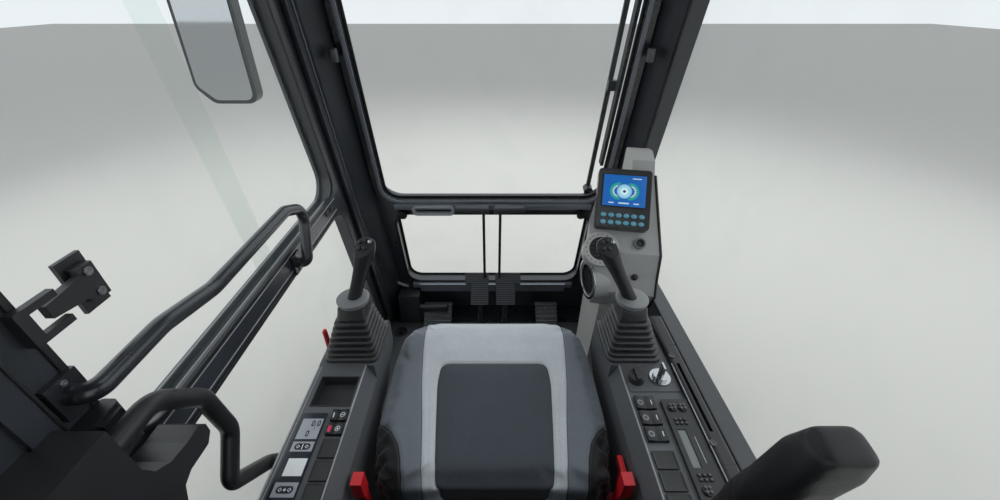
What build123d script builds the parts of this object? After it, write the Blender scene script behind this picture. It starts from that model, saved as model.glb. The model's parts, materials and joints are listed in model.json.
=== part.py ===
from build123d import *
import math
import os

# Operator's cab of a compact excavator, in millimetres.
# X points right of the operator, Y forward, Z up. The origin is the centre of the four
# mounting holes, on the underside of the floor frame.

# Cab body
cab_width = 1000.0
rear_y = -800.0
front_foot_y = 855.4        # inside of the front wall, carried down to the underside
front_lean = 12.0           # degrees that the front wall and its pillars lean back
roof_z = 1690.0
roof_skirt = 90.0
wall = 45.0
corner_r = 60.0
floor_h = 100.0
floor_plate = 12.0
rail_w = 62.0
pocket_r = 20.0
mount_x = 400.0
mount_y = 650.0
mount_boss_r = 45.0
mount_hole_r = 11.0
cross_rail = 180.0          # a cross rail's middle from the mounting holes
pillar_gusset = 42.0
mat_t = 8.0

# Glass
glass_t = 6.0
glass_inset = 2.0           # skin to the outer face of a bonded pane
lap = 12.0                  # how far a bonded pane laps its opening
edge_gap = 2.0              # between a pane's edge and its rebate

# Openings in the walls; a head is measured down from the roof's top
side_low = 620.0
side_head = 115.0
side_rear = -700.0
side_front_inset = 87.0
quarter_front = -440.0
quarter_low = 760.0
window_r = 55.0
frame_gap = 3.0             # upper window frame to a pillar's bevel
upper_low = 730.0
upper_head = 130.0
lower_half = 363.0
lower_low = 280.0
lower_high = 650.0
rear_half = 330.0
rear_low = 780.0
rear_head = 190.0
roof_window_x = 270.0
roof_window_y = (-330.0, 170.0)

# Front window frame, the ring that carries the upper pane
ring_t = 16.0
ring_lap = 12.0
pane_gap = 2.0
opening_grow = 19.0

# Door
door_rear = -345.0
door_low = 130.0
door_head = 100.0
door_inset = 125.0          # door opening's front edge behind the front wall's inside
door_gap = 6.0
door_t = 39.0
door_r = 60.0
lip_t = 6.0
lip_lap = 14.0
door_glass_inset = 192.0
door_glass_rear = -287.0
door_glass_low = 200.0
midrail_low = 790.0
midrail_high = 855.0
door_glass_head = 60.0      # below the doorway's head
divider_low_y = 107.0
divider_lean = 5.0
divider_lap = 20.0
slot_grow = 10.0
pane_t = 5.0
front_pane_depth = 10.0     # skin to the outer face
rear_pane_depth = 21.0
hinge_back = 2.0
barrel_r = 13.0
barrel_gap = 1.0
pin_r = 6.0
running_gap = 0.3
knuckle = 34.0
leaf_reach = 40.0           # from the hinge pin to a leaf's far edge
leaf_t = 7.0
low_hinge = 200.0           # above the doorway's sill
high_hinge = 395.0          # below the doorway's head

# Consoles and their controls
console_top = 640.0
console_gap = 10.0          # seat cushion to a console
left_gap = 63.0             # a console's outer side from the cab's side wall
right_gap = 55.0
console_rear = -430.0
console_front = 178.0
console_bevel = (18.0, 44.0)    # the sloped inner edge: across, down
plate_t = 4.0
rocker_h = 9.0
blank_h = 4.0
rail_w_top = 34.0           # the trim rail beside the right console
rail_rise = 12.0
boot_y = 92.0
boot_out = {-1: 69.0, 1: 77.0}  # a boot's middle from its console's outer side
boot_half = 58.0
boot_h = 126.0
boot_lean = (-12.0, 6.0)    # a boot's top from its foot: outwards, forwards
pleats = 6
pleat_step = 14.0
boot_base_h = 10.0
collar_r = 34.0
collar_t = 12.0
grip_reach = {-1: (-32.0, 50.0, 108.0), 1: (-59.0, 48.0, 108.0)}  # head from collar: out, forwards, up

# Seat
seat_half = 258.0
cushion_front = 255.0
cushion_rear = -220.0
cushion_top = 580.0
cushion_t = 112.0
pan_t = 12.0
recline = 28.0
pivot_y = -262.0
pivot_z = 540.0
pivot_r = 9.0
bracket_in = 32.0           # from the cushion's widest half to a pivot bracket
pan_in = 36.0
bracket_t = 8.0
bracket_gap = 2.0
bracket_r = 30.0
back_length = 620.0
back_start = 52.0
back_in = 36.0              # the back cushion's foot is narrower than the seat's half by this
back_taper = 22.0
back_front = 45.0
back_t = 95.0
shell_t = 24.0
armrest_u = 194.0
armrest_n = 40.0
armrest_r = 12.0
armrest_gap = 42.0          # from the seat cushion's side to the armrest
armrest_w = 80.0
armrest_lean = 9.3
armrest_len = 262.0
armrest_t = 54.0
armrest_back = 34.0
rail_in = 88.0              # a slide rail's middle from the cushion's side
rail_z = 425.0

# Display column: its profile lies in the plane of its right side and is drawn out to the left,
# turned towards the operator
column_yaw = 10.2
column_right = 450.0
column_len = 184.0
column_face = 222.0         # up the face that carries the display
pod_left = 292.0            # left side of the pod round the side vent
column_slope = 47.5         # degrees of the face that carries the display
column_crease = (298.0, 751.0)  # y, z of the crease below that face
column_neck = 560.0         # height below which the column is narrower
column_foot_left = 322.0
screen_size = (141.0, 166.0, 28.0)
screen_at = (-109.7, 142.0)     # along the column, up its face
vent_t = 12.0
vent_slat = 2.5
upper_vent_at = (-156.0, 3.0)
upper_vent_r = 47.0
upper_hole_r = 31.0
boss_h = 62.0               # depth of the round boss under the upper vent
drum_at = (281.0, 345.0, 637.0)     # middle of the side vent's face
drum_turn = 8.0             # degrees that the side vent is turned to the operator
drum_r = 60.0
drum_len = 65.0
drum_rim = 2.0
side_hole_r = 46.0
socket_at = (-55.0, 28.0)
socket_r = 15.0

# Safety bar, mirror and wiper
bar_r = 13.0
bar_out = 20.0              # from the left console's outer side to the bar
mirror_y = 600.0
mirror_head = 238.0         # the mirror's arm below the roof's top
mirror_h = 326.0
mirror_w = 160.0
mirror_out = 155.0          # from the cab's side to the mirror
wiper_in = 27.0             # from the upper window's side edge to the wiper's arm
blade_in = 7.0
wiper_len = 640.0
blade_len = 520.0
blade_up = 390.0            # the blade's middle above the arm's foot

# Worked out
half = cab_width / 2
inner_half = half - wall
lean_tan = math.tan(math.radians(front_lean))
lean_cos = math.cos(math.radians(front_lean))
lean_sin = math.sin(math.radians(front_lean))
shell_low = floor_h
roof_low = roof_z - roof_skirt
rear_in = rear_y + wall
hinge_x = -half - barrel_gap - barrel_r
mat_top = floor_h + mat_t
side_high = roof_z - side_head
upper_high = roof_z - upper_head
rear_high = roof_z - rear_head
door_high = roof_z - door_head
door_glass_high = door_high - door_glass_head
hinge_heights = (door_low + low_hinge, door_high - high_hinge)
console_in = seat_half + console_gap
left_out = inner_half - left_gap
right_out = inner_half - right_gap
boot_x = {-1: left_out - boot_out[-1], 1: right_out - boot_out[1]}
upper_half = inner_half - pillar_gusset - frame_gap - ring_lap - opening_grow
boot_top = console_top + boot_h
pan_half = seat_half - pan_in
bracket_x = seat_half - bracket_in
back_half = seat_half - back_in
back_top_half = back_half - back_taper
armrest_x = (seat_half + armrest_gap, seat_half + armrest_gap + armrest_w)
rail_x = seat_half - rail_in
mirror_arm_z = roof_z - mirror_head

front_wall = Plane(origin=(0, front_foot_y, 0), x_dir=(-1, 0, 0), z_dir=(0, lean_cos, lean_sin))


def front_y(z, inset=0.0):
    """Y of the front wall's inside at height z, moved back square to the wall by inset."""
    return front_foot_y - z * lean_tan - inset / lean_cos


def span(low, high):
    """A box from its lowest to its highest corner."""
    size = [b - a for a, b in zip(low, high)]
    centre = [(a + b) / 2 for a, b in zip(low, high)]
    return Pos(*centre) * Box(*size)


def rounded(points, radius):
    """A flat outline with every corner rounded."""
    return fillet(Polygon(*points, align=None).vertices(), radius)


def side_outline(y_rear, z_low, z_high, inset, radius, grow=0.0):
    """A window or door outline in a side wall: three square edges and a leaning front edge."""
    low, high, rear, front = z_low - grow, z_high + grow, y_rear - grow, inset - grow
    points = [(rear, low), (front_y(low, front), low), (front_y(high, front), high), (rear, high)]
    return rounded(points, radius + grow)


def side_slab(outline, x_low, x_high):
    return extrude(Plane.YZ.offset(x_low) * outline, amount=x_high - x_low)


def front_outline(half_width, z_low, z_high, radius, grow=0.0):
    """A window outline in the front wall, given by the heights of its edges."""
    low, high = z_low / lean_cos - grow, z_high / lean_cos + grow
    w = half_width + grow
    return rounded([(-w, low), (w, low), (w, high), (-w, high)], radius + grow)


def front_slab(outline, t_low, t_high):
    """An outline of the front wall made solid between two depths, outwards from its inside."""
    return extrude(front_wall.offset(t_low) * outline, amount=t_high - t_low)


def tube(points, radius, bends):
    """A round bar along straight runs joined by arcs."""
    line = FilletPolyline(*points, radius=bends)
    return sweep(Plane(origin=line @ 0, z_dir=line % 0) * Circle(radius), path=line)


def rod(start, end, radius):
    line = Line(start, end)
    return sweep(Plane(origin=line @ 0, z_dir=line % 0) * Circle(radius), path=line)


# Cab body

def cab_block(inset, z_low, z_high, radius, rounded_top):
    """The cab's outside form, or its inside when inset by the wall."""
    rear = rear_y + inset
    w = half - inset
    points = [(rear, z_low), (front_y(z_low, inset - wall), z_low),
              (front_y(z_high, inset - wall), z_high), (rear, z_high)]
    block = extrude(Plane.YZ.offset(-w) * Polygon(*points, align=None), amount=2 * w)
    edges = [e for e in block.edges() if e.center().Z > z_low + 1]
    if not rounded_top:
        edges = [e for e in edges if e.center().Z < z_high - 1]
    return fillet(edges, radius) if radius else block


mount_places = [(x, y) for x in (-mount_x, mount_x) for y in (-mount_y, mount_y)]


def floor_frame():
    """Side rails, a centre rail, cross rails and four bored mounting bosses."""
    frame = cab_block(0, 0, floor_h - floor_plate, corner_r, False)
    y_stops = [rear_y + rail_w, -mount_y + cross_rail, 0, mount_y - cross_rail, front_y(floor_h) - rail_w]
    pad = rail_w / 4
    for y_low, y_high in zip(y_stops, y_stops[1:]):
        for x_low, x_high in ((-half + rail_w, -rail_w / 2), (rail_w / 2, half - rail_w)):
            outline = rounded([(x_low, y_low + pad), (x_high, y_low + pad),
                               (x_high, y_high - pad), (x_low, y_high - pad)], pocket_r)
            frame -= extrude(outline, amount=floor_h)
    for x, y in mount_places:
        frame += Pos(x, y, (floor_h - floor_plate) / 2) * Cylinder(mount_boss_r, floor_h - floor_plate)
    for x, y in mount_places:
        frame -= Pos(x, y, floor_h / 2) * Cylinder(mount_hole_r, 2 * floor_h)
    return frame


def floor_sheet():
    """The floor plate on the rails, holed for the mounting bolts."""
    plate = cab_block(0, 0, floor_h, corner_r, False)
    plate -= cab_block(0, 0, floor_h - floor_plate, corner_r, False)
    for x, y in mount_places:
        plate -= Pos(x, y, floor_h) * Cylinder(mount_hole_r, 4 * floor_plate)
    return plate


def rebate(outline_at, skin, inwards):
    """The step cut from outside that a bonded pane lies in."""
    depth = glass_t + glass_inset
    outline = outline_at(lap + edge_gap)
    low, high = sorted((skin, skin + inwards * depth))
    return side_slab(outline, low, high)


def side_pane(outline_at, skin, inwards):
    near = skin + inwards * glass_inset
    far = near + inwards * glass_t
    return side_slab(outline_at(lap), min(near, far), max(near, far))


def right_window(grow=0.0):
    return side_outline(side_rear, side_low, side_high, side_front_inset, window_r, grow)


def quarter_window(grow=0.0):
    points = [(side_rear - grow, quarter_low - grow), (quarter_front + grow, quarter_low - grow),
              (quarter_front + grow, side_high + grow), (side_rear - grow, side_high + grow)]
    return rounded(points, window_r + grow)


def doorway(grow=0.0):
    return side_outline(door_rear, door_low, door_high, door_inset, door_r, grow)


def rear_window(grow=0.0):
    w = rear_half + grow
    points = [(-w, rear_low - grow), (w, rear_low - grow), (w, rear_high + grow), (-w, rear_high + grow)]
    return rounded(points, window_r + grow)


def roof_window(grow=0.0):
    w = roof_window_x + grow
    low, high = roof_window_y[0] - grow, roof_window_y[1] + grow
    return rounded([(-w, low), (w, low), (w, high), (-w, high)], window_r + grow)


def gusset(side):
    """The bevelled inner corner where a front pillar's two webs meet."""
    x_wall = side * inner_half
    x_in = side * (inner_half - pillar_gusset)
    bars = []
    for z in (floor_h, roof_low):
        y = front_y(z)
        bars.append(Plane.XY.offset(z) * make_face(Polyline(
            (x_wall, y), (x_in, y), (x_wall, y - 1.6 * pillar_gusset), close=True)))
    return loft(bars)


def lip():
    """The flange round the doorway that carries the door seal."""
    return side_slab(doorway(lip_lap) - doorway(-lip_lap), -inner_half, -inner_half + lip_t)


def hinge_plane(z):
    """A plane across the door hinge's axis at height z."""
    y = front_y(z, door_inset + door_gap + hinge_back)
    return Plane(origin=(hinge_x, y, z), x_dir=(1, 0, 0), z_dir=(0, -lean_sin, lean_cos))


def barrel(z, offset, length, forward):
    """One hinge knuckle and its leaf; the leaf runs forward to the pillar or back to the door."""
    at = hinge_plane(z).offset(offset - length / 2)
    leaf_y = leaf_reach if forward else -leaf_reach - door_gap
    reach = barrel_gap + barrel_r
    points = [(0, 0), (reach, 0), (reach, leaf_y), (reach - leaf_t, leaf_y), (0, leaf_y * 0.3)]
    leaf = Polygon(*(points if forward else reversed(points)), align=None)
    return extrude(at * Circle(barrel_r), amount=length) + extrude(at * leaf, amount=length)


def hinge_knuckles(cab_side):
    """Cab side: two outer knuckles with the pin through them. Door side: the one between."""
    pitch = knuckle + 1.0
    parts = []
    for z in hinge_heights:
        if cab_side:
            pair = barrel(z, pitch, knuckle, True) + barrel(z, -pitch, knuckle, True)
            pin = extrude(hinge_plane(z).offset(-pitch) * Circle(pin_r), amount=2 * pitch)
            parts.append(pair + pin)
        else:
            bore = extrude(hinge_plane(z).offset(-knuckle) * Circle(pin_r + running_gap), amount=2 * knuckle)
            parts.append(barrel(z, 0, knuckle, False) - bore)
    return parts


def body_panels():
    """The hollow cab split where its panels meet: two sides, front, rear and roof."""
    shell = cab_block(0, 0, roof_z, corner_r, True)
    shell -= span((-half - 1, rear_y - 1, -1), (half + 1, front_foot_y + wall + 9, shell_low))
    shell -= cab_block(wall, 0, roof_z - wall, 0, True)
    big = 2000.0
    roof = shell & span((-big, -big, roof_low), (big, big, big))
    walls = shell - span((-big, -big, roof_low), (big, big, big))
    left = walls & span((-big, -big, 0), (-inner_half, big, big))
    right = walls & span((inner_half, -big, 0), (big, big, big))
    front = walls & span((-inner_half, 0, 0), (inner_half, big, big))
    rear = walls & span((-inner_half, -big, 0), (inner_half, 0, big))
    return left, right, front, rear, roof


def left_side_frame(panel):
    panel -= side_slab(doorway(), -half - 1, -inner_half + 1)
    panel -= side_slab(quarter_window(), -half - 1, -inner_half + 1)
    panel -= rebate(quarter_window, -half, 1)
    panel += lip()
    panel += gusset(-1)
    return panel


def right_side_frame(panel):
    panel -= side_slab(right_window(), inner_half - 1, half + 1)
    panel -= rebate(right_window, half, -1)
    panel += gusset(1)
    rib_z = [200.0, 330.0, 460.0]
    for z in rib_z:
        groove = rounded([(side_rear, z), (600, z), (600, z + 60), (side_rear, z + 60)], 20)
        panel -= side_slab(groove, half - 6, half + 1)
    return panel


def front_frame(panel):
    outline = front_outline(upper_half, upper_low, upper_high, window_r, opening_grow)
    panel -= front_slab(outline, -1, wall + 1)
    panel -= front_slab(front_outline(lower_half, lower_low, lower_high, window_r), -1, wall + 1)
    depth = glass_t + glass_inset
    step = front_outline(lower_half, lower_low, lower_high, window_r, lap + edge_gap)
    panel -= front_slab(step, wall - depth, wall + 1)
    return panel


def rear_wall(panel):
    at = Plane(origin=(0, rear_in + 1, 0), x_dir=(1, 0, 0), z_dir=(0, -1, 0))
    panel -= extrude(at * rear_window(), amount=wall + 2)
    skin = Plane(origin=(0, rear_y + glass_t + glass_inset, 0), x_dir=(1, 0, 0), z_dir=(0, -1, 0))
    panel -= extrude(skin * rear_window(lap + edge_gap), amount=glass_t + glass_inset + 1)
    for z in (210.0, 340.0, 470.0, 600.0):
        groove = rounded([(-340, z), (340, z), (340, z + 60), (-340, z + 60)], 20)
        panel -= extrude(skin * groove, amount=glass_t + glass_inset + 1)
    return panel


def roof_panel(panel):
    panel -= extrude(Plane.XY.offset(roof_z - wall - 1) * roof_window(), amount=wall + 2)
    depth = glass_t + glass_inset
    panel -= extrude(Plane.XY.offset(roof_z - depth) * roof_window(lap + edge_gap), amount=depth + 1)
    return panel


def rear_pane():
    at = Plane(origin=(0, rear_y + glass_t + glass_inset, 0), x_dir=(1, 0, 0), z_dir=(0, -1, 0))
    return extrude(at * rear_window(lap), amount=glass_t)


def roof_pane():
    at = Plane.XY.offset(roof_z - glass_t - glass_inset)
    return extrude(at * roof_window(lap), amount=glass_t)


def front_window_frame():
    outer = front_outline(upper_half, upper_low, upper_high, window_r, opening_grow + ring_lap)
    ring = front_slab(outer, -ring_t, 0)
    ring -= front_slab(front_outline(upper_half, upper_low, upper_high, window_r), -ring_t - 1, 1)
    return ring


def front_upper_pane():
    outline = front_outline(upper_half, upper_low, upper_high, window_r, opening_grow - pane_gap)
    return front_slab(outline, 0, glass_t)


def front_lower_pane():
    outline = front_outline(lower_half, lower_low, lower_high, window_r, lap)
    return front_slab(outline, wall - glass_inset - glass_t, wall - glass_inset)


# Door

def door_upper_window(grow=0.0):
    return side_outline(door_glass_rear, midrail_high, door_glass_high, door_glass_inset, window_r, grow)


def door_lower_window(grow=0.0):
    return side_outline(door_glass_rear, door_glass_low, midrail_low, door_glass_inset, window_r, grow)


def divider_y(z, shift):
    return divider_low_y - (z - midrail_high) * math.tan(math.radians(divider_lean)) + shift


def pane_region(rear_side, shift):
    """All of the door in front of the panes' meeting line, or behind it."""
    z_low, z_high = 0.0, roof_z
    y_far = rear_y if rear_side else front_foot_y
    points = [(divider_y(z_low, shift), z_low), (y_far, z_low), (y_far, z_high), (divider_y(z_high, shift), z_high)]
    if rear_side:
        points.reverse()
    return Polygon(*points, align=None)


def door_frame():
    """The door's shell with its midrail, glass openings, slide channel and hinge leaves."""
    skin = -half
    door = side_slab(doorway(-door_gap), skin, skin + door_t)
    door -= side_slab(door_upper_window(), skin - 1, skin + door_t + 1)
    door -= side_slab(door_lower_window(), skin - 1, skin + door_t + 1)
    door -= side_slab(door_lower_window(lap + edge_gap), skin - 1, skin + glass_t + glass_inset)
    slot = (skin + front_pane_depth - 2, skin + rear_pane_depth + pane_t + 2)
    door -= side_slab(door_upper_window(slot_grow), *slot)
    return door


def sliding_pane(rear_side):
    depth = rear_pane_depth if rear_side else front_pane_depth
    shift = divider_lap if rear_side else -divider_lap
    outline = door_upper_window(slot_grow - running_gap) & pane_region(rear_side, shift)
    return side_slab(outline, -half + depth, -half + depth + pane_t)


def door_lower_pane():
    return side_pane(door_lower_window, -half, 1)


grab_x = -430.0
grab_r = 12.0
door_inside = -half + door_t


def grab_rail():
    """The bent bar inside the door, with a foot plate at each end."""
    x = door_inside
    points = [(x, 175, 818), (grab_x, 175, 818), (grab_x, 224, 935), (grab_x, 150, 966), (grab_x, -100, 966),
              (grab_x, -200, 986), (grab_x, -304, 986), (x, -304, 986)]
    bar = tube(points, grab_r, [16, 38, 38, 90, 90, 16])
    for y, z in ((175, 818), (-304, 986)):
        bar += span((x, y - 18, z - 24), (x + 8, y + 18, z + 24))
    return bar


latch_y = door_rear + door_gap + 15
catch_z = 1075.0            # height of the sliding pane's latch


def door_latch():
    """The door's release lever, and the sliding pane's latch with the catch that it drops into."""
    box = span((door_inside, latch_y, 884), (door_inside + 24, latch_y + 40, 950))
    box = fillet(box.edges().filter_by(Axis.Z), 7)
    paddle = span((door_inside + 24, latch_y + 6, 900), (door_inside + 31, latch_y + 32, 946))
    pane_in = -half + rear_pane_depth + pane_t
    plate = span((pane_in, -232, catch_z - 40), (pane_in + 5, -200, catch_z + 28))
    block = span((pane_in + 5, -226, catch_z - 26), (pane_in + 18, -206, catch_z + 18))
    lever = Polygon((-226, catch_z - 16), (-226, catch_z + 12), (-272, catch_z + 7), (-272, catch_z - 9), align=None)
    handle = extrude(Plane.YZ.offset(pane_in + 12) * lever, amount=10)
    stile = door_glass_rear - 14
    catch = span((door_inside, stile, catch_z - 22), (door_inside + 13, stile + 12, catch_z + 20))
    for z in (catch_z - 22, catch_z + 12):
        catch += span((door_inside + 5, stile, z), (door_inside + 13, stile + 42, z + 8))
    return Compound([box + paddle, plate + block + handle, catch])


def outer_handle():
    """The outside pull: a bowed bar on two feet."""
    x = -half
    y, z_low, z_high = -316.0, 900.0, 1050.0
    bar = tube([(x, y, z_low), (x - 34, y, z_low), (x - 34, y, z_high), (x, y, z_high)], 9, 14)
    return bar


# Consoles

def console_body(side, x_out, pod_low):
    """A console: moulded pod with a slim pedestal below it, its front end swept up."""
    x_in = side * console_in
    x_o = side * x_out
    low_x, high_x = sorted((x_in, x_o))
    profile = [(console_rear, pod_low), (console_front - 110, pod_low), (console_front, pod_low + 60),
               (console_front, console_top), (console_rear, console_top)]
    pod = extrude(Plane.YZ.offset(low_x) * rounded(profile, 16), amount=high_x - low_x)
    across, down = console_bevel
    edge = Polyline((x_in, console_top - down), (x_in, console_top + 1), (x_in + side * across, console_top + 1),
                    (x_in + side * across, console_top), close=True)
    bevel_front = boot_y - boot_half - boot_base_h
    pod -= extrude(Plane.XZ.offset(-bevel_front) * make_face(edge), amount=bevel_front - console_rear + 1)
    foot = span((low_x + 14, console_rear + 40, floor_h), (high_x - 14, console_front - 150, pod_low + 1))
    return pod + foot


tray_y = (-82.0, -6.0)
tray_rim = 17.0
tray_depth = 26.0
deck_in = console_in + console_bevel[0]


def left_console():
    body = console_body(-1, left_out, 500.0)
    low, high = -left_out + tray_rim, -deck_in - plate_t
    body -= span((low, tray_y[0], console_top - tray_depth), (high, tray_y[1], console_top + 9))
    return body


def right_console():
    return console_body(1, right_out, 470.0)


def switch_row(x_low, x_high, y_high, pitch, count, height):
    """Rocker switches or blanks in a row that runs rearwards."""
    keys = []
    for i in range(count):
        y = y_high - i * pitch
        key = span((x_low, y - pitch + 4, console_top), (x_high, y, console_top + height))
        keys.append(key)
    return keys


def left_switches():
    x_in, x_far = -deck_in - 1, -deck_in - 33
    parts = switch_row(x_far, x_in, -92, 29, 2, rocker_h) + switch_row(x_far, x_in, -152, 40, 5, blank_h)
    plate = span((-left_out + 14, -300, console_top), (x_far - 11, -98, console_top + plate_t))
    return Compound([plate] + parts)


def right_switches():
    x_in, x_far = deck_in + 6, right_out - 68
    parts = switch_row(x_in, x_far, -61, 34, 3, rocker_h) + switch_row(x_in, x_far, -175, 37, 4, blank_h)
    parts.append(span((x_in, -47, console_top), (right_out - 2, 21, console_top + 2)))
    return Compound(parts)


radio_x = (right_out - 55, right_out - 1)
radio_y = (-262.0, -69.0)


def radio():
    """The radio's front: a case with its keys, two clusters of round buttons and a sunk display."""
    body = span((radio_x[0], radio_y[0], console_top), (radio_x[1], radio_y[1], console_top + 7))
    body = fillet(body.edges().filter_by(Axis.Z), 4)
    top = console_top + 7
    body -= span((radio_x[0] + 9, -208, top - 3), (radio_x[0] + 25, -135, top + 1))
    for y in (-115.0, -221.0):
        for i in range(3):
            for j in range(2):
                body += Pos(radio_x[0] + 13 + 9 * i, y - 8 * j, top + 0.5) * Box(6, 5, 3)
    for x, y in ((17, -88), (37, -88), (17, -246)):
        body += Pos(radio_x[0] + x, y, top + 1) * Cylinder(9, 4)
    return body


rail_slot_y = (-143.0, 20.0)


def trim_rail():
    """The padded strip along the right console's outer edge, with its slot."""
    strip = span((right_out, console_rear + 30, console_top - 26),
                 (right_out + rail_w_top, console_front - 6, console_top + rail_rise))
    strip = fillet(strip.edges().filter_by(Axis.Y), 9)
    slot = span((right_out + 11, rail_slot_y[0], console_top), (right_out + 18, rail_slot_y[1], console_top + 40))
    return strip - slot


def ignition():
    """The ignition lock's stepped bezel with its key."""
    x, y, base = right_out - 35, -12, console_top + 2
    lock = Pos(x, y, base + 2) * Cylinder(22, 4) + Pos(x, y, base + 8) * Cylinder(16, 8)
    key = span((x - 2, y - 9, base + 12), (x + 2, y + 9, base + 40))
    return lock + key


def turn_knob():
    base = console_top + 2
    return Pos(right_out - 88, -16, base + 8) * (Cylinder(17, 16) + Pos(0, 0, 10) * Box(9, 30, 8))


def boot(side):
    """The pleated rubber boot: a flange, sharp-edged pleats that step inwards, and a plain cone."""
    foot = Vector(side * boot_x[side], boot_y, console_top)
    drift = Vector(side * boot_lean[0], boot_lean[1], 0)
    pleat_low = boot_base_h + 2
    cone_low = pleat_low + pleats * pleat_step
    heights_sizes = [(0, 2 * boot_half + 8), (boot_base_h, 2 * boot_half + 8)]
    for i in range(pleats):
        size, z = 2 * boot_half - 8 * i, pleat_low + i * pleat_step
        heights_sizes += [(z, size - 12), (z + 3, size), (z + 9, size - 2)]
    heights_sizes += [(cone_low, 66), (boot_h, 56)]
    rings = []
    for z, size in heights_sizes:
        middle = foot + drift * (z / boot_h) + Vector(0, 0, z)
        rings.append(soft_block(Plane(origin=middle), size, size, size * 0.18))
    return loft(rings, ruled=True)


def soft_block(at, width, depth, soft):
    """A rectangle with softened corners, three points to a corner, on a plane."""
    w, d = width / 2, depth / 2
    turn = soft * (1 - math.sqrt(0.5))
    corner = [(w, d - soft), (w - turn, d - turn), (w - soft, d)]
    points = corner + [(-x, y) for x, y in reversed(corner)]
    points += [(-x, -y) for x, y in corner] + [(x, -y) for x, y in reversed(corner)]
    return at * Polygon(*points, align=None)


def grip(side):
    """The joystick's collar, its shaft and its head, whose flat face looks at the operator."""
    foot = Vector(side * (boot_x[side] + boot_lean[0]), boot_y + boot_lean[1], boot_top)
    collar = Pos(*foot) * Pos(0, 0, collar_t / 2) * Cylinder(collar_r, collar_t)
    collar = chamfer(collar.edges().filter_by(GeomType.CIRCLE), 3)
    out, forwards, up = grip_reach[side]
    reach = Vector(side * out, forwards, up)
    axis = reach.normalized()
    share_width_depth = [(0.0, 32, 34), (0.45, 31, 34), (0.66, 36, 42), (0.84, 44, 54), (1.05, 46, 56), (1.22, 38, 42)]
    rings = []
    for share, width, depth in share_width_depth:
        at = Plane(origin=foot + reach * share, x_dir=Vector(1, 0, 0).cross(axis).cross(axis) * -1, z_dir=axis)
        rings.append(soft_block(at, width, depth, 0.38 * min(width, depth)))
    shaft = loft(rings, ruled=True)
    shaft -= Pos(foot.X, foot.Y, boot_top - 50 + collar_t / 2) * Box(150, 150, 100)
    face = Plane(origin=foot + reach + Vector(0, 0, 6), x_dir=(1, 0, 0), z_dir=(0, -0.55, 0.835))
    shaft -= extrude(face * Rectangle(160, 160), amount=80)
    for x, y in ((-12, 12), (0, 17), (12, 12), (3, -4)):
        shaft += extrude(face * (Pos(x, y) * Circle(5)), amount=3)
    return collar + shaft


# Front right column and its monitor

yaw = math.radians(column_yaw)
slope = math.radians(column_slope)
along = Vector(math.cos(yaw), -math.sin(yaw), 0)
crease = Vector(column_right, *column_crease)
face_out = along.cross(Vector(0, math.cos(slope), math.sin(slope))).normalized()
face_up = face_out.cross(along)
pedal_ribs = 6
pedal_pitch = 20.0


def face_plane(place, out=0.0):
    """A plane on the column's upper face: along it, up it and out from it."""
    origin = crease + along * place[0] + face_up * place[1] + face_out * out
    return Plane(origin=origin, x_dir=along, z_dir=face_out)


def drawn_left(profile, radius, start, length):
    """A profile in the column's right side, drawn out to the left along its turned face."""
    at = Plane(origin=crease - along * start, x_dir=(0, 1, 0), z_dir=(1, 0, 0))
    y0, z0 = column_crease
    outline = rounded([(y - y0, z - z0) for y, z in profile], radius)
    return extrude(at * outline, amount=length, dir=along * -1)


def side_vent_plane():
    """The face of the side vent: its normal points left and a little back to the operator."""
    turn = math.radians(drum_turn)
    return Plane(origin=drum_at, x_dir=(math.sin(turn), -math.cos(turn), 0),
                 z_dir=(-math.cos(turn), -math.sin(turn), 0))


def column_body():
    """The moulded column from the floor to the display, with the round bosses of its two vents."""
    y0, z0 = column_crease
    top = (y0 + column_face * math.cos(slope), z0 + column_face * math.sin(slope))
    profile = [(330, mat_top), (300, column_neck), (267, 634), (283, 682), (y0, z0), top,
               (top[0] + 32, top[1] + 3), (600, z0 + 60), (600, mat_top)]
    body = drawn_left(profile, 8, 0, column_len)
    fairing = [(430, 880), (470, 952), (503, 970), (535, 966), (560, 870)]
    body += drawn_left(fairing, 8, 0, 60)
    plan = Polygon((column_right, y0 - 80), (column_right, 560), (336, 540), (298, 440), (262, 372), (240, 300),
                   (240, y0 - 80), align=None)
    body &= extrude(plan, amount=roof_z)
    body -= span((0, 0, 0), (column_foot_left, 700, column_neck))
    beside_drum = Polygon((0, column_neck), (pod_left, column_neck), (pod_left, 690), (pod_left - 26, 722), (0, 722),
                          align=None)
    body -= extrude(Plane.XZ * beside_drum, amount=-700)
    body += extrude(face_plane(upper_vent_at) * Circle(upper_vent_r), amount=-boss_h)
    face = side_vent_plane()
    body += extrude(face * Circle(drum_r), amount=-drum_len)
    return body - extrude(face.offset(1) * Circle(drum_r - drum_rim), amount=-1 - vent_t)


def vent(radius, hole_r):
    """A round air vent: its bezel, the back of its bore, and the slats across it."""
    ring = Cylinder(radius, vent_t) - Cylinder(hole_r, 2 * vent_t)
    ring += Pos(0, 0, -vent_t / 2 + 1.5) * Cylinder(hole_r, 3)
    for i in (-2, -1, 0, 1, 2):
        reach = math.sqrt(hole_r ** 2 - (i * hole_r / 3) ** 2)
        ring += Pos(0, i * hole_r / 3, 0) * Box(2 * reach, vent_slat, vent_t - 5)
    return ring


def column_fittings():
    """The two round vents and the power socket's ring."""
    upper = face_plane(upper_vent_at, vent_t / 2) * vent(upper_vent_r, upper_hole_r)
    side = side_vent_plane().offset(-vent_t / 2) * vent(drum_r - drum_rim, side_hole_r)
    socket = Cylinder(socket_r, 8) - Pos(0, 0, 3) * Cylinder(socket_r - 6, 8)
    return Compound([upper, side, face_plane(socket_at, 4) * socket])


def monitor():
    """The display's housing, lying on the column's upper face."""
    width, height, depth = screen_size
    return extrude(face_plane(screen_at) * RectangleRounded(width, height, 9), amount=depth)


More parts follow.
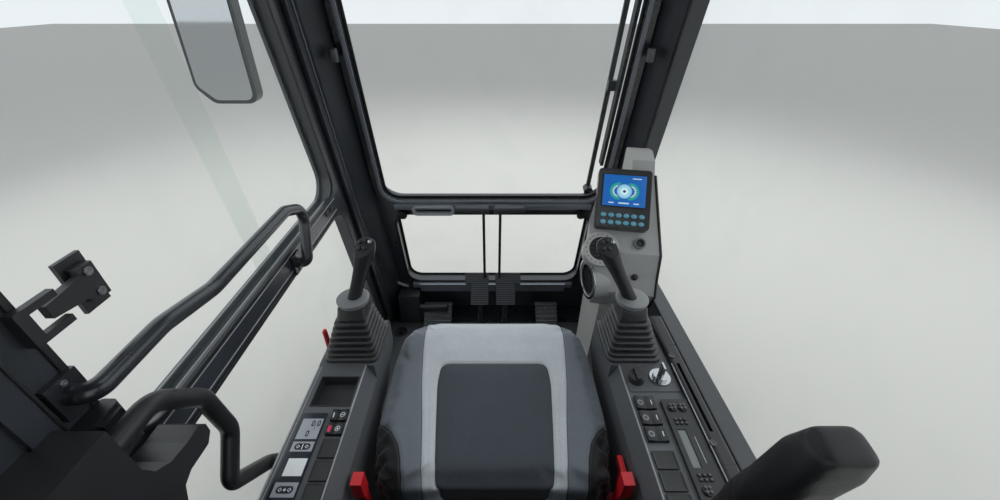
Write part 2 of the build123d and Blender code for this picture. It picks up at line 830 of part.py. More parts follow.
def travel_lever(x, pad_low, pad_high, pedal_low, pedal_high):
    """A travel lever: a hand pad on a rod that rises from its ribbed foot pedal."""
    pad = span((pad_low, 622, 700), (pad_high, 658, 722))
    pad = fillet(pad.edges().filter_by(Axis.Z), 12)
    bar = rod((x, 640, 705), (x, 672, 392), 7)
    centre_x = (pedal_low + pedal_high) / 2
    w = pedal_high - pedal_low
    at = Plane(origin=(centre_x, 642, 357), x_dir=(1, 0, 0), z_dir=(0, -0.745, 0.667))
    plate = extrude(at * RectangleRounded(w, 130, 10), amount=-10)
    for i in range(pedal_ribs):
        y = (i - (pedal_ribs - 1) / 2) * pedal_pitch
        plate += extrude(at * (Pos(0, y) * Rectangle(w - 10, pedal_pitch * 0.4)), amount=4)
    neck = rod((centre_x, 648, 352), (centre_x, 690, floor_h), 14)
    neck -= span((centre_x - 50, 600, 0), (centre_x + 50, 800, mat_top))
    return pad + bar + plate + neck


def footrest(x_low, x_high):
    profile = [(650, floor_h + 8), (775, floor_h + 8), (760, floor_h + 78), (745, floor_h + 78)]
    return extrude(Plane.YZ.offset(x_low) * Polygon(*profile, align=None), amount=x_high - x_low)


def heater_box():
    profile = [(715, floor_h), (front_y(floor_h), floor_h), (front_y(235), 235), (735, 235)]
    return extrude(Plane.YZ.offset(-410) * Polygon(*profile, align=None), amount=90)


def sill_bar():
    """The duct below the lower window, its top cut by demister slots."""
    low, high = 224.0, 269.0
    profile = [(front_y(low) - 22, low), (front_y(low), low), (front_y(high), high), (front_y(high) - 22, high)]
    bar = extrude(Plane.YZ.offset(-318) * Polygon(*profile, align=None), amount=2 * 318)
    return bar


def floor_mat():
    """The rubber mat, cut clear of the four mounting bolts."""
    t = mat_t
    mat = span((-inner_half, 200, floor_h), (inner_half, 710, floor_h + t))
    mat += span((-console_in + 6, -560, floor_h), (console_in - 6, 200, floor_h + t))
    for x in (-mount_x, mount_x):
        mat -= Pos(x, mount_y, floor_h) * Cylinder(mount_boss_r - 15, 4 * t)
    return mat


# Seat

def suspension():
    """The seat's suspension box: base plate, bellows pleats and top plate."""
    y_mid = -60.0
    half_w = rail_x + 20
    base = span((-half_w, -250, mat_top), (half_w, 130, mat_top + 20))
    top_low = rail_z - 18
    solid = base + span((-half_w, -250, top_low), (half_w, 130, rail_z))
    count = 6
    step = (top_low - mat_top - 20) / count
    for i in range(count):
        z = mat_top + 20 + i * step
        for low, high, z0 in ((2 * half_w - 80, 2 * half_w - 50, z), (2 * half_w - 50, 2 * half_w - 80, z + step / 2)):
            rings = [Pos(0, y_mid, z0) * RectangleRounded(low, low - 20, 24),
                     Pos(0, y_mid, z0 + step / 2) * RectangleRounded(high, high - 20, 24)]
            solid += loft(rings, ruled=True)
    return solid


def lower_rails():
    parts = []
    for side in (-1, 1):
        rail = span((side * rail_x - 22, -300, rail_z), (side * rail_x + 22, 200, rail_z + 16))
        rail -= span((side * rail_x - 8, -301, rail_z + 4), (side * rail_x + 8, 201, rail_z + 17))
        parts.append(rail)
    return Compound(parts)


pan_low = cushion_top - cushion_t - pan_t


def seat_pan():
    """The steel pan: two runners below, a bracket and pivot pin at each side."""
    pan = span((-pan_half, -228, pan_low), (pan_half, 205, pan_low + pan_t))
    for side in (-1, 1):
        x = side * rail_x
        pan += span((x - 7.5, -210, rail_z + 4.5), (x + 7.5, 130, pan_low))
        b_low, b_high = sorted((side * bracket_x, side * (bracket_x + bracket_t)))
        arm = Polygon((pivot_y + 12, pan_low), (-120, pan_low), (-120, pan_low + pan_t - 2),
                      (pivot_y + 36, pan_low + pan_t - 2), (pivot_y + 28, pivot_z), (pivot_y - 24, pivot_z), align=None)
        arm += Pos(pivot_y, pivot_z) * Circle(bracket_r)
        pan += extrude(Plane.YZ.offset(b_low) * arm, amount=b_high - b_low)
        web = sorted((side * (pan_half - 7), side * (bracket_x + bracket_t)))
        pan += span((web[0], -150, pan_low), (web[1], -120, pan_low + pan_t))
        p_low, p_high = sorted((side * bracket_x, side * (bracket_x + 2 * bracket_t + bracket_gap + 4)))
        pan += extrude(Plane.YZ.offset(p_low) * (Pos(pivot_y, pivot_z) * Circle(pivot_r)), amount=p_high - p_low)
    return pan


buckle_y = (-217.0, -193.0)


def seat_buckles():
    """The belt's buckles: each a strap bolted to the pan's bracket with a housing on top, and on
    the right the red release handle beside it."""
    parts = []
    wall_x = bracket_x + bracket_t
    for side in (-1, 1):
        strap = sorted((side * (wall_x + 4), side * (wall_x + 10)))
        foot = sorted((side * wall_x, side * (wall_x + 10)))
        case = sorted((side * (wall_x + 4), side * (wall_x + 24)))
        part = span((foot[0], buckle_y[0] + 3, pan_low), (foot[1], buckle_y[1] - 3, pan_low + pan_t))
        part += span((strap[0], buckle_y[0] + 4, pan_low), (strap[1], buckle_y[1] - 4, cushion_top - 20))
        part += span((case[0], buckle_y[0], cushion_top - 24), (case[1], buckle_y[1], cushion_top + 24))
        parts.append(part)
    x = seat_half - 6
    foot = span((wall_x, -185, pan_low), (x + 8, -165, pan_low + pan_t - 2))
    post = span((x, -185, pan_low), (x + 8, -165, cushion_top - 28))
    parts.append(foot + post + span((x, -190, cushion_top - 30), (x + 10, -140, cushion_top - 16)))
    return Compound(parts)


def seat_cushion():
    """The seat cushion's space: a wide tapered pad with soft edges."""
    inset_y = [(53, cushion_rear), (22, cushion_rear + 30), (8, -140), (0, -90), (0, 95), (8, cushion_front - 80),
               (30, cushion_front - 33), (66, cushion_front - 12), (108, cushion_front)]
    right = [(seat_half - inset, y) for inset, y in inset_y]
    outline = Polygon(*right, *[(-x, y) for x, y in reversed(right)], align=None)
    pad = extrude(Plane.XY.offset(cushion_top - cushion_t) * outline, amount=cushion_t)
    top = [e for e in pad.edges() if e.center().Z > cushion_top - 1]
    return fillet(top, 22)


back_sin = math.sin(math.radians(recline))
back_cos = math.cos(math.radians(recline))


def back_point(u, n, x=0.0):
    """A point of the reclined back: u along it, n in front of its pivot line."""
    return Vector(x, pivot_y - u * back_sin + n * back_cos, pivot_z + u * back_cos + n * back_sin)


def back_plane(n):
    return Plane(origin=back_point(0, n), x_dir=(-1, 0, 0), z_dir=(0, back_cos, back_sin))


def back_outline(w_low, w_high, low, high, radius):
    return rounded([(-w_low, low), (w_low, low), (w_high, high), (-w_high, high)], radius)


def back_cushion():
    outline = back_outline(back_half, back_top_half, back_start, back_length, 60)
    return extrude(back_plane(back_front - back_t) * outline, amount=back_t)


def back_frame():
    """The moulded back shell with a side arm to each pivot and the armrest's stub shaft."""
    outline = back_outline(back_half + 6, back_top_half + 6, back_start + 20, back_length - 16, 60)
    shell = extrude(back_plane(back_front - back_t - shell_t) * outline, amount=shell_t)
    for side in (-1, 1):
        x_low, x_high = sorted((side * (bracket_x + bracket_t + bracket_gap),
                                side * (bracket_x + 2 * bracket_t + bracket_gap)))
        arm = Polygon((pivot_y - 24, pivot_z - 8), (pivot_y + 24, pivot_z + 8),
                      *[(p.Y, p.Z) for p in (back_point(armrest_u, armrest_n + 16),
                                             back_point(armrest_u + 20, armrest_n),
                                             back_point(armrest_u + 20, back_front - back_t - shell_t),
                                             back_point(100, back_front - back_t - shell_t))], align=None)
        arm += Pos(pivot_y, pivot_z) * Circle(bracket_r)
        arm -= Pos(pivot_y, pivot_z) * Circle(pivot_r + running_gap)
        shell += extrude(Plane.YZ.offset(x_low) * arm, amount=x_high - x_low)
        web_low, web_high = sorted((side * (back_half - 20), side * (bracket_x + 2 * bracket_t + bracket_gap)))
        at = back_plane(back_front - back_t - shell_t)
        web = Polygon((web_low, 110), (web_high, 110), (web_high, 200), (web_low, 200), align=None)
        shell += extrude(at * web, amount=shell_t)
    pin_at = back_point(armrest_u, armrest_n)
    x0 = bracket_x + bracket_t + bracket_gap
    shell += extrude(Plane.YZ.offset(x0) * (Pos(pin_at.Y, pin_at.Z) * Circle(armrest_r)),
                     amount=armrest_x[1] - 14 - x0)
    return shell


def armrest():
    """The raised right armrest: a padded bar with a round end, bored for its shaft."""
    a = back_point(armrest_u, armrest_n)
    up = Vector(0, -math.sin(math.radians(armrest_lean)), math.cos(math.radians(armrest_lean)))
    at = Plane(origin=(armrest_x[0], a.Y, a.Z), x_dir=up, z_dir=(1, 0, 0))
    r = armrest_t / 2
    outline = rounded([(-armrest_back, -r), (armrest_len, -r), (armrest_len, r), (-armrest_back, r)], 24)
    pad = extrude(at * outline, amount=armrest_x[1] - armrest_x[0])
    pad -= extrude(at.offset(-1) * Circle(armrest_r + running_gap), amount=armrest_x[1] - armrest_x[0] - 12)
    return pad


# Bars, mirror and wiper

trim_rear = -450.0
trim_front = door_rear - lip_lap - 3
trim_reach = 22.0           # how far the dished front edge stands ahead of the trim's body
trim_x = -inner_half + 61
tongue_front = -254.0
bar_end_z = 940.0


def safety_bar():
    x = -left_out - bar_out
    points = [(-left_out, -178, 615), (x - 2, -178, 615), (x, -262, 702), (x, -212, 775), (x + 4, -226, 872),
              (x + 4, -280, bar_end_z), (x + 4, trim_front + trim_reach, bar_end_z)]
    return tube(points, bar_r, [14, 22, 34, 40, 40])


def rear_trim():
    """The moulded trim inside the rear left pillar, dished at its front edge, with a tongue below."""
    body = [(trim_rear, 560), (-376, 560), (trim_front, 796), (trim_front, 975), (trim_rear, 975)]
    part = extrude(Plane.YZ.offset(-inner_half) * Polygon(*body, align=None), amount=trim_x + inner_half)
    x_lip = -inner_half + lip_t
    edge = [(trim_front - 9, 760), (-330, 790), (-318, 819), (-302, 826), (tongue_front - 12, 824), (tongue_front, 836),
            (tongue_front, 852), (-262, 862), (-287, 862), (-314, 867), (-332, 880), (trim_front + trim_reach, 900),
            (trim_front + trim_reach, 975), (trim_front - 9, 975)]
    return part + extrude(Plane.YZ.offset(x_lip) * Polygon(*edge, align=None), amount=trim_x - x_lip)


mirror_t = 34.0
mirror_rim = 10.0
mirror_top = mirror_arm_z - 52


def mirror_outline(inset, radius):
    """The mirror's outline, wider at its foot, with the lower outer corner cut away."""
    x_in, x_far = -half - mirror_out - inset, -half - mirror_out - mirror_w + inset
    low, high = mirror_top - mirror_h + inset, mirror_top - inset
    return rounded([(x_far - 21, low + 44 - inset / 2), (x_far + 20, low), (x_in - 13, low), (x_in, high),
                    (x_far, high)], radius)


def mirror_housing():
    at = Plane(origin=(0, mirror_y, 0), x_dir=(1, 0, 0), z_dir=(0, -1, 0))
    shell = extrude(at.offset(-mirror_t) * mirror_outline(0, 30), amount=mirror_t)
    foot_y = front_y(mirror_arm_z) - wall
    arm_x, arm_y = -half - mirror_out - mirror_w / 2 - 5, mirror_y + mirror_t / 2
    arm = tube([(arm_x, arm_y, mirror_top - 20), (arm_x, arm_y, mirror_arm_z), (-half - 60, arm_y, mirror_arm_z),
                (-half - 10, foot_y, mirror_arm_z)], 10, [30, 40])
    foot = span((-half - 10, foot_y - 26, mirror_arm_z - 26), (-half, foot_y + 26, mirror_arm_z + 26))
    return shell + arm + foot


def mirror_glass():
    at = Plane(origin=(0, mirror_y, 0), x_dir=(1, 0, 0), z_dir=(0, -1, 0))
    return extrude(at * mirror_outline(mirror_rim, 24), amount=3)


def wiper():
    """The wiper: motor spindle, arm and blade on the front pane's right side."""
    x_arm, x_blade, t = upper_half - wiper_in, upper_half - blade_in, wall + 24
    arm_low = upper_low / lean_cos - opening_grow + 2.7
    middle = arm_low + blade_up
    blade = front_slab(Pos(-x_blade, middle) * Rectangle(10, blade_len), wall - 20, wall + 8)
    arm = front_slab(Pos(-x_arm, arm_low + wiper_len / 2) * Rectangle(14, wiper_len), t - 4, t + 4)
    bridge = front_slab(Pos(-(x_arm + x_blade) / 2, middle) * Rectangle(34, 30), wall + 8, t - 4)
    spindle = front_slab(Pos(-x_arm, arm_low + 5) * Circle(16), wall, t + 6)
    return blade + arm + bridge + spindle


def window_fittings():
    """The pull handle and two knobs on the front window's bottom rail."""
    t0 = -ring_t
    rail_mid = upper_low / lean_cos - opening_grow - 22
    grip_part = front_slab(Pos(213, rail_mid) * RectangleRounded(152, 44, 18), t0 - 16, t0)
    grip_part -= front_slab(Pos(213, rail_mid + 7) * RectangleRounded(110, 20, 8), t0 - 20, t0 + 1)
    parts = [grip_part]
    for x in (-upper_half + 52, upper_half - 48):
        parts.append(front_slab(Pos(-x, rail_mid - 33) * Circle(17), t0 - 8, 0))
    return Compound(parts)


def build():
    """Every sub-part by name."""
    left, right, front, rear, roof = body_panels()
    return {
        "floor_frame": floor_frame(),
        "floor_plate": floor_sheet(),
        "floor_mat": floor_mat(),
        "left_side_frame": left_side_frame(left),
        "right_side_frame": right_side_frame(right),
        "front_frame": front_frame(front),
        "rear_wall": rear_wall(rear),
        "roof_panel": roof_panel(roof),
        "front_window_frame": front_window_frame(),
        "front_upper_pane": front_upper_pane(),
        "front_lower_pane": front_lower_pane(),
        "right_side_pane": side_pane(right_window, half, -1),
        "quarter_pane": side_pane(quarter_window, -half, 1),
        "rear_pane": rear_pane(),
        "roof_pane": roof_pane(),
        "pillar_hinges": Compound(hinge_knuckles(True)),
        "door_hinges": Compound(hinge_knuckles(False)),
        "door_frame": door_frame(),
        "door_front_pane": sliding_pane(False),
        "door_rear_pane": sliding_pane(True),
        "door_lower_pane": door_lower_pane(),
        "door_grab_rail": grab_rail(),
        "door_latch": door_latch(),
        "door_outer_handle": outer_handle(),
        "left_console": left_console(),
        "right_console": right_console(),
        "left_switches": left_switches(),
        "right_switches": right_switches(),
        "radio": radio(),
        "console_trim_rail": trim_rail(),
        "ignition_key": ignition(),
        "turn_knob": turn_knob(),
        "left_boot": boot(-1),
        "right_boot": boot(1),
        "left_grip": grip(-1),
        "right_grip": grip(1),
        "monitor_column": column_body(),
        "monitor": monitor(),
        "column_fittings": column_fittings(),
        "left_travel_lever": travel_lever(-31, -131, -12, -106, -18),
        "right_travel_lever": travel_lever(27, 5, 113, 18, 114),
        "left_footrest": footrest(-300, -180),
        "right_footrest": footrest(190, 284),
        "heater_box": heater_box(),
        "sill_bar": sill_bar(),
        "seat_suspension": suspension(),
        "seat_lower_rails": lower_rails(),
        "seat_pan": seat_pan(),
        "seat_cushion": seat_cushion(),
        "seat_buckles": seat_buckles(),
        "backrest_frame": back_frame(),
        "backrest_cushion": back_cushion(),
        "right_armrest": armrest(),
        "safety_bar": safety_bar(),
        "rear_left_trim": rear_trim(),
        "mirror_housing": mirror_housing(),
        "mirror_glass": mirror_glass(),
        "wiper": wiper(),
        "window_fittings": window_fittings(),
    }


def main():
    os.makedirs("parts", exist_ok=True)
    for name, shape in build().items():
        export_step(shape, f"parts/{name}.step")


main()
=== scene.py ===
# %% [markdown]
# # The operator's cab of a compact excavator
#
# This script dresses a finished construction model. The model already has every panel, pane, lever
# and hinge at its real size and place, so nothing here moves them. What is added is what a maker's
# finishing shop adds: paint, grained plastic, glass, rubber seals, woven seat covers with seams,
# switches, keys, screws and the picture on the display. It is laid out as a lesson. Each step says
# what the real thing is, how it could be made in Blender, and why one way was taken.

# %% Loading the frame
import math

import bpy
from mathutils import Matrix, Vector
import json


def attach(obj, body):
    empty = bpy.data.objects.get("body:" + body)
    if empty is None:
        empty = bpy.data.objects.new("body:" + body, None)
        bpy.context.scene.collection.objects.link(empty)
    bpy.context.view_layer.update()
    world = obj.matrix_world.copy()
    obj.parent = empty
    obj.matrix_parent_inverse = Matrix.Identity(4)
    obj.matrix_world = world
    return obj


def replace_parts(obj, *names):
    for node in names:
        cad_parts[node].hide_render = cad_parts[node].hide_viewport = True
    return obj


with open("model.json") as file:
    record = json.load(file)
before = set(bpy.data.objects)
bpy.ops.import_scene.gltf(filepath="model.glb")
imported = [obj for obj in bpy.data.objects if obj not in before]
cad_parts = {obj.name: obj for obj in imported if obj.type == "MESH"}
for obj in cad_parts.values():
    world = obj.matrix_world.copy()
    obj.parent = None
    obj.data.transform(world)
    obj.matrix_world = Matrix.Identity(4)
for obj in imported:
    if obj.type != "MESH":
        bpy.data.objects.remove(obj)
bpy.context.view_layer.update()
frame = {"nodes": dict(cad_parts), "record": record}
nodes = frame["nodes"]
bpy.ops.object.select_all(action="DESELECT")

# %% [markdown]
# ## Sizes that the finish has to meet
#
# Trim has to lie exactly on the panels, so the few sizes that the panels share are named once, in
# metres, or in millimetres where a comment says so. X points right, Y forward and Z up, and the
# front wall leans back by twelve degrees. A small function gives the front wall's place at any
# height, and all that lies on it asks for it.

# %% Shared sizes
MM = 0.001
LEAN = math.radians(12.0)
LEAN_COS = math.cos(LEAN)
FRONT_FOOT = 0.8554
# in millimetres: half the cab's inside width, the doorway's inner face, and the consoles' height
INNER = 455
DOOR_INNER = 461
CONSOLE_TOP = 640
SIDES = ((-1, "left"), (1, "right"))


def front_y(z, inset=0.0):
    """Y of the front wall's inside at height z, moved back square to the wall by inset."""
    return FRONT_FOOT - z * math.tan(LEAN) - inset / LEAN_COS


print("front wall foot", round(front_y(0.1), 3), "head", round(front_y(1.6), 3))

# %% [markdown]
# ## The camera
#
# The photograph was taken from where the operator's head would be, looking down over the seat. A
# wide lens shows both doors' edges and the seat at once. The lens and the tilt were solved from
# lines that are parallel in the real cab, and they are set here as plain numbers.

# %% Camera at the operator's eye
EYE = (0.0, -0.570, 1.350)
TILT_DOWN = math.radians(33.72)
LENS_MM = 14.13
SENSOR_MM = 36.0
OFF_CENTRE = 0.0075

camera_data = bpy.data.cameras.new("operator_eye")
camera_data.lens = LENS_MM
camera_data.sensor_width = SENSOR_MM
camera_data.shift_x = OFF_CENTRE
camera_data.clip_start = 0.02
camera_data.clip_end = 60.0
camera = bpy.data.objects.new("operator_eye", camera_data)
bpy.context.scene.collection.objects.link(camera)
camera.location = EYE
camera.rotation_euler = (math.pi / 2 - TILT_DOWN, 0.0, 0.0)
bpy.context.scene.camera = camera
print("camera tilt", round(math.degrees(TILT_DOWN), 2), "lens", LENS_MM)

# %% [markdown]
# ## A short way to write materials
#
# A material is a graph of nodes. Wiring one by hand takes many lines, so a socket is wrapped in a
# class that knows the arithmetic operators: an expression such as `1 - mask * 0.5` then adds the
# Math nodes by itself. One more method adds any other node. Colours never go through Math nodes,
# because those turn them grey; they go through a Mix node.

# %% Sockets that can be added and multiplied
def operator(operation, swapped=False):
    """A method that lays a Math node over the socket and another value."""
    def method(self, other):
        return self.math(operation, *((other, self) if swapped else (self, other)))

    return method


class Socket:
    """A node's output that Python's operators can be used on."""

    def __init__(self, finish, output):
        self.finish = finish
        self.output = output

    def math(self, operation, first, second=None):
        inputs = {0: first} if second is None else {0: first, 1: second}
        return self.finish.node("Math", {"operation": operation}, inputs)

    __add__ = operator("ADD")
    __radd__ = operator("ADD", True)
    __sub__ = operator("SUBTRACT")
    __rsub__ = operator("SUBTRACT", True)
    __mul__ = operator("MULTIPLY")
    __rmul__ = operator("MULTIPLY", True)
    __truediv__ = operator("DIVIDE")
    __pow__ = operator("POWER")
    __gt__ = operator("GREATER_THAN")
    __lt__ = operator("LESS_THAN")

    def size(self):
        """The value without its sign."""
        return self.math("ABSOLUTE", self)

    def repeat(self):
        """The value's distance past the last whole number."""
        return self.math("FRACT", self)

    def clamp(self, low=0.0, high=1.0):
        return self.math("MAXIMUM", self.math("MINIMUM", self, high), low)


class Finish:
    """One material: a graph of nodes that ends in a Principled shader."""

    def __init__(self, name, **fixed):
        self.material = bpy.data.materials.new(name)
        self.material.use_nodes = True
        self.tree = self.material.node_tree
        self.shader = self.tree.nodes["Principled BSDF"]
        self.set(**fixed)

    def node(self, kind, settings=None, inputs=None, out=0):
        """A node of the kind, with its settings first and then its sockets' values or links."""
        made = self.tree.nodes.new("ShaderNode" + kind)
        for key, value in (settings or {}).items():
            setattr(made, key, value)
        for key, value in (inputs or {}).items():
            self.feed(made.inputs[key], value)
        return Socket(self, made.outputs[out])

    def feed(self, socket, value):
        if isinstance(value, Socket):
            self.tree.links.new(value.output, socket)
        elif hasattr(value, "__len__") and socket.type == "RGBA" and len(value) == 3:
            socket.default_value = (*value, 1.0)
        else:
            socket.default_value = value

    def set(self, **sockets):
        """Values or links on the Principled shader; an underscore stands for a space."""
        for key, value in sockets.items():
            self.feed(self.shader.inputs[key.replace("_", " ")], value)
        return self

    def here(self):
        """Object coordinates."""
        return self.node("TexCoord", out="Object")

    def stretched(self, scale):
        """Object coordinates scaled along each axis."""
        return self.node("Mapping", None, {"Vector": self.here(), "Scale": scale})

    def noise(self, scale, detail=3.0, rough=0.55, where=None):
        return self.node("TexNoise", None, {"Vector": where or self.here(), "Scale": scale,
                                            "Detail": detail, "Roughness": rough})

    def cells(self, scale):
        return self.node("TexVoronoi", None, {"Vector": self.here(), "Scale": scale})

    def mix(self, first, second, factor):
        """A colour between two colours."""
        made = self.tree.nodes.new("ShaderNodeMix")
        made.data_type = "RGBA"
        self.feed(made.inputs["Factor"], factor)
        self.feed(made.inputs[6], first)
        self.feed(made.inputs[7], second)
        return Socket(self, made.outputs[2])

    def bump(self, height, strength=0.3, depth=0.0005):
        return self.node("Bump", None, {"Height": height, "Strength": strength, "Distance": depth})

    def axes(self, where=None):
        """The three coordinates as numbers."""
        parts = self.tree.nodes.new("ShaderNodeSeparateXYZ")
        self.feed(parts.inputs[0], where or self.here())
        return [Socket(self, parts.outputs[i]) for i in range(3)]


print("material helper ready")

# %% [markdown]
# ## Paint
#
# The cab's steel is powder coated in anthracite. Powder coat has a fine orange-peel surface and a
# satin gloss, and dust and hands change its gloss in broad soft patches. Noise at three sizes does
# this: a fine one for the peel, a middle one for the colour and a broad one for the gloss.

# %% Powder-coated steel
def powder_coat(name, colour, light, rough=0.38, coat=0.25):
    made = Finish(name, Specular_IOR_Level=0.7, Coat_Roughness=0.18)
    broad = made.noise(3.0, 4.0)
    fine = made.noise(420.0, 2.0)
    scuff = made.noise(38.0, 6.0, 0.7)
    worn = ((scuff - 0.60) * 5.0).clamp()
    tint = made.mix(colour, light, broad * 0.55 + worn * 0.35)
    made.set(Base_Color=tint, Roughness=(rough + (broad - 0.5) * 0.18 + worn * 0.12).clamp(0.1, 0.9),
             Coat_Weight=(coat * (1.0 - worn)).clamp(), Normal=made.bump(fine, 0.25, 0.0003))
    return made.material


cab_paint = powder_coat("cab_paint", (0.026, 0.029, 0.036), (0.050, 0.056, 0.068), 0.30, 0.4)
black_paint = powder_coat("black_paint", (0.016, 0.018, 0.022), (0.034, 0.037, 0.044), 0.26, 0.5)
seat_steel = powder_coat("seat_steel", (0.012, 0.012, 0.013), (0.026, 0.026, 0.028), 0.45, 0.1)
print("paints:", cab_paint.name, black_paint.name, seat_steel.name)

# %% [markdown]
# ## Plastics
#
# Injection-moulded panels carry a leather-like grain that is etched into the mould. Voronoi cells a
# millimetre across give its pebbles, and a little noise breaks their edges. Gloss differs between
# the tops of the pebbles and the dips. Switch plastic is smoother, so it gets a finer, weaker grain.

# %% Moulded plastics
def moulded(name, colour, light, grain=900.0, rough=0.52, depth=0.00025, spread=0.5):
    made = Finish(name, Specular_IOR_Level=0.75)
    pebble = made.cells(grain)
    broad = made.noise(6.0, 5.0)
    dust = made.noise(70.0, 6.0, 0.65)
    tint = made.mix(colour, light, (broad * spread + (dust - 0.5) * 0.35).clamp())
    made.set(Base_Color=tint, Roughness=(rough + (dust - 0.5) * 0.16 + pebble * 0.08).clamp(0.1, 0.95),
             Normal=made.bump(pebble + made.noise(1600.0, 1.0) * 0.3, 0.35, depth))
    return made.material


console_grey = moulded("console_grey", (0.082, 0.087, 0.096), (0.128, 0.134, 0.146))
column_grey = moulded("column_grey", (0.42, 0.42, 0.41), (0.52, 0.52, 0.51), 1000.0, 0.48)
black_plastic = moulded("black_plastic", (0.018, 0.019, 0.021), (0.040, 0.042, 0.046), 950.0, 0.36)
switch_black = moulded("switch_black", (0.010, 0.011, 0.012), (0.020, 0.021, 0.023), 1500.0, 0.30,
                       0.0001)
red_plastic = moulded("red_plastic", (0.55, 0.012, 0.020), (0.72, 0.03, 0.04), 1500.0, 0.32, 0.0001)
screen_black = moulded("screen_black", (0.006, 0.006, 0.007), (0.014, 0.014, 0.016), 1600.0, 0.28,
                       0.0001)
soft_black = moulded("soft_black", (0.012, 0.012, 0.013), (0.026, 0.026, 0.029), 700.0, 0.36, 0.0003)
boot_rubber = moulded("boot_rubber", (0.028, 0.028, 0.030), (0.070, 0.070, 0.074), 1300.0, 0.30, 0.0001)
mat_rubber = moulded("mat_rubber", (0.026, 0.028, 0.031), (0.066, 0.068, 0.070), 600.0, 0.55, 0.0003)
print("plastics ready")

# %% [markdown]
# ## Glass, mirror and bright metal
#
# A pane in a window is thin, so light goes nearly straight through. A refracting glass shader would
# shade the whole inside, so the pane is a mix of a clear shader and a glossy one, and the gloss grows
# at a flat angle, as on real glass. A Fresnel node would turn the pane's far face into a mirror past
# its critical angle, so the growth is written out from how far the face is turned away.

# %% Glass and metals
CLEAR = (0.965, 0.985, 0.975)


def clear_pane(name, tint, film):
    made = Finish(name, Base_Color=tint, Roughness=0.03)
    tree = made.tree
    clear = tree.nodes.new("ShaderNodeBsdfTransparent")
    made.feed(clear.inputs["Color"], CLEAR)
    blend = tree.nodes.new("ShaderNodeMixShader")
    turned = made.node("LayerWeight", None, {"Blend": 0.5}, "Facing")
    smear = made.noise(9.0, 5.0)
    made.feed(blend.inputs[0],
              (turned ** 5.0 * 0.5 + 0.03 + ((smear - 0.5) * film).clamp()).clamp(0.0, 0.6))
    tree.links.new(clear.outputs[0], blend.inputs[1])
    tree.links.new(made.shader.outputs[0], blend.inputs[2])
    tree.links.new(blend.outputs[0], tree.nodes["Material Output"].inputs["Surface"])
    return made.material


def bright_metal(name, colour, rough):
    made = Finish(name, Metallic=1.0, Base_Color=colour)
    scratch = made.noise(240.0, 4.0, where=made.stretched((1.0, 6.0, 1.0)))
    made.set(Roughness=(rough + (scratch - 0.5) * 0.12).clamp(0.03, 0.9),
             Normal=made.bump(scratch, 0.08, 0.0001))
    return made.material


clear_glass = clear_pane("clear_glass", (0.55, 0.60, 0.60), 0.10)
chrome = bright_metal("chrome", (0.62, 0.63, 0.65), 0.12)
steel = bright_metal("steel", (0.55, 0.56, 0.58), 0.28)
silvered = bright_metal("mirror_silver", (0.60, 0.62, 0.64), 0.03)
print("glass and metals ready")

# %% [markdown]
# ## Giving each node its finish
#
# The construction model's own pieces stay as they are and only get a material. The record says which
# material slot each node uses, so one small table from slot to finish covers them all.

# %% Finishes by slot
finish_of_slot = dict(
    cab_paint=cab_paint, black_paint=black_paint, seat_steel=seat_steel, clear_glass=clear_glass,
    console_grey=console_grey, column_grey=column_grey, black_plastic=black_plastic,
    switch_black=switch_black, red_plastic=red_plastic, screen=screen_black, soft_black=soft_black,
    boot_rubber=boot_rubber, mat_rubber=mat_rubber, chrome=chrome, mirror=silvered,
    seat_fabric=soft_black)
for part in frame["record"]["subparts"]:
    piece = nodes[part["node"]]
    piece.data.materials.clear()
    piece.data.materials.append(finish_of_slot[part["material_slot"]])

# %% [markdown]
# ## Helpers for modelling by hand
#
# New pieces are made as one would make them at the screen: add a primitive at its size and place,
# pick faces or edges, extrude, inset, bevel, and apply modifiers. Operators act on whatever is
# selected, so each helper clears the selection first, and picks by place or by normal. Sizes are in
# millimetres here, and the helpers turn them into metres. A finished piece has its origin at zero.

# %% Adding, picking and shaping
def clear_selection():
    if bpy.context.object and bpy.context.object.mode != "OBJECT":
        bpy.ops.object.mode_set(mode="OBJECT")
    bpy.ops.object.select_all(action="DESELECT")


def named(name):
    """Names the piece that was just added and moves its place into its mesh."""
    piece = bpy.context.object
    piece.name = piece.data.name = name
    bpy.ops.object.transform_apply(location=True, rotation=True, scale=True)
    return piece


def block(name, low, high):
    """A box between two corners."""
    clear_selection()
    middle = [(a + b) / 2 * MM for a, b in zip(low, high)]
    size = [(b - a) * MM for a, b in zip(low, high)]
    bpy.ops.mesh.primitive_cube_add(size=1.0, location=middle, scale=size)
    return named(name)


def drum(name, middle, radius, height, sides=32, turn=(0.0, 0.0, 0.0)):
    """A round bar, upright unless it is turned."""
    clear_selection()
    bpy.ops.mesh.primitive_cylinder_add(
        vertices=sides, radius=radius * MM, depth=height * MM, rotation=turn,
        location=[value * MM for value in middle])
    return named(name)


def take(piece):
    """Makes a piece the only selected one."""
    clear_selection()
    piece.select_set(True)
    bpy.context.view_layer.objects.active = piece


def pick(piece, kind, test):
    """Edit mode, with only the vertices, edges or faces selected whose middle passes the test."""
    take(piece)
    bpy.ops.object.mode_set(mode="EDIT")
    bpy.ops.mesh.select_mode(type=kind)
    bpy.ops.mesh.select_all(action="DESELECT")
    bpy.ops.object.mode_set(mode="OBJECT")
    mesh = piece.data
    spots = [vertex.co / MM for vertex in mesh.vertices]
    if kind == "VERT":
        for vertex, spot in zip(mesh.vertices, spots):
            vertex.select = test(spot, vertex.normal)
    elif kind == "EDGE":
        for edge in mesh.edges:
            first, second = (spots[i] for i in edge.vertices)
            edge.select = test((first + second) / 2, (second - first).normalized())
    else:
        for face in mesh.polygons:
            face.select = test(face.center / MM, face.normal)
    bpy.ops.object.mode_set(mode="EDIT")


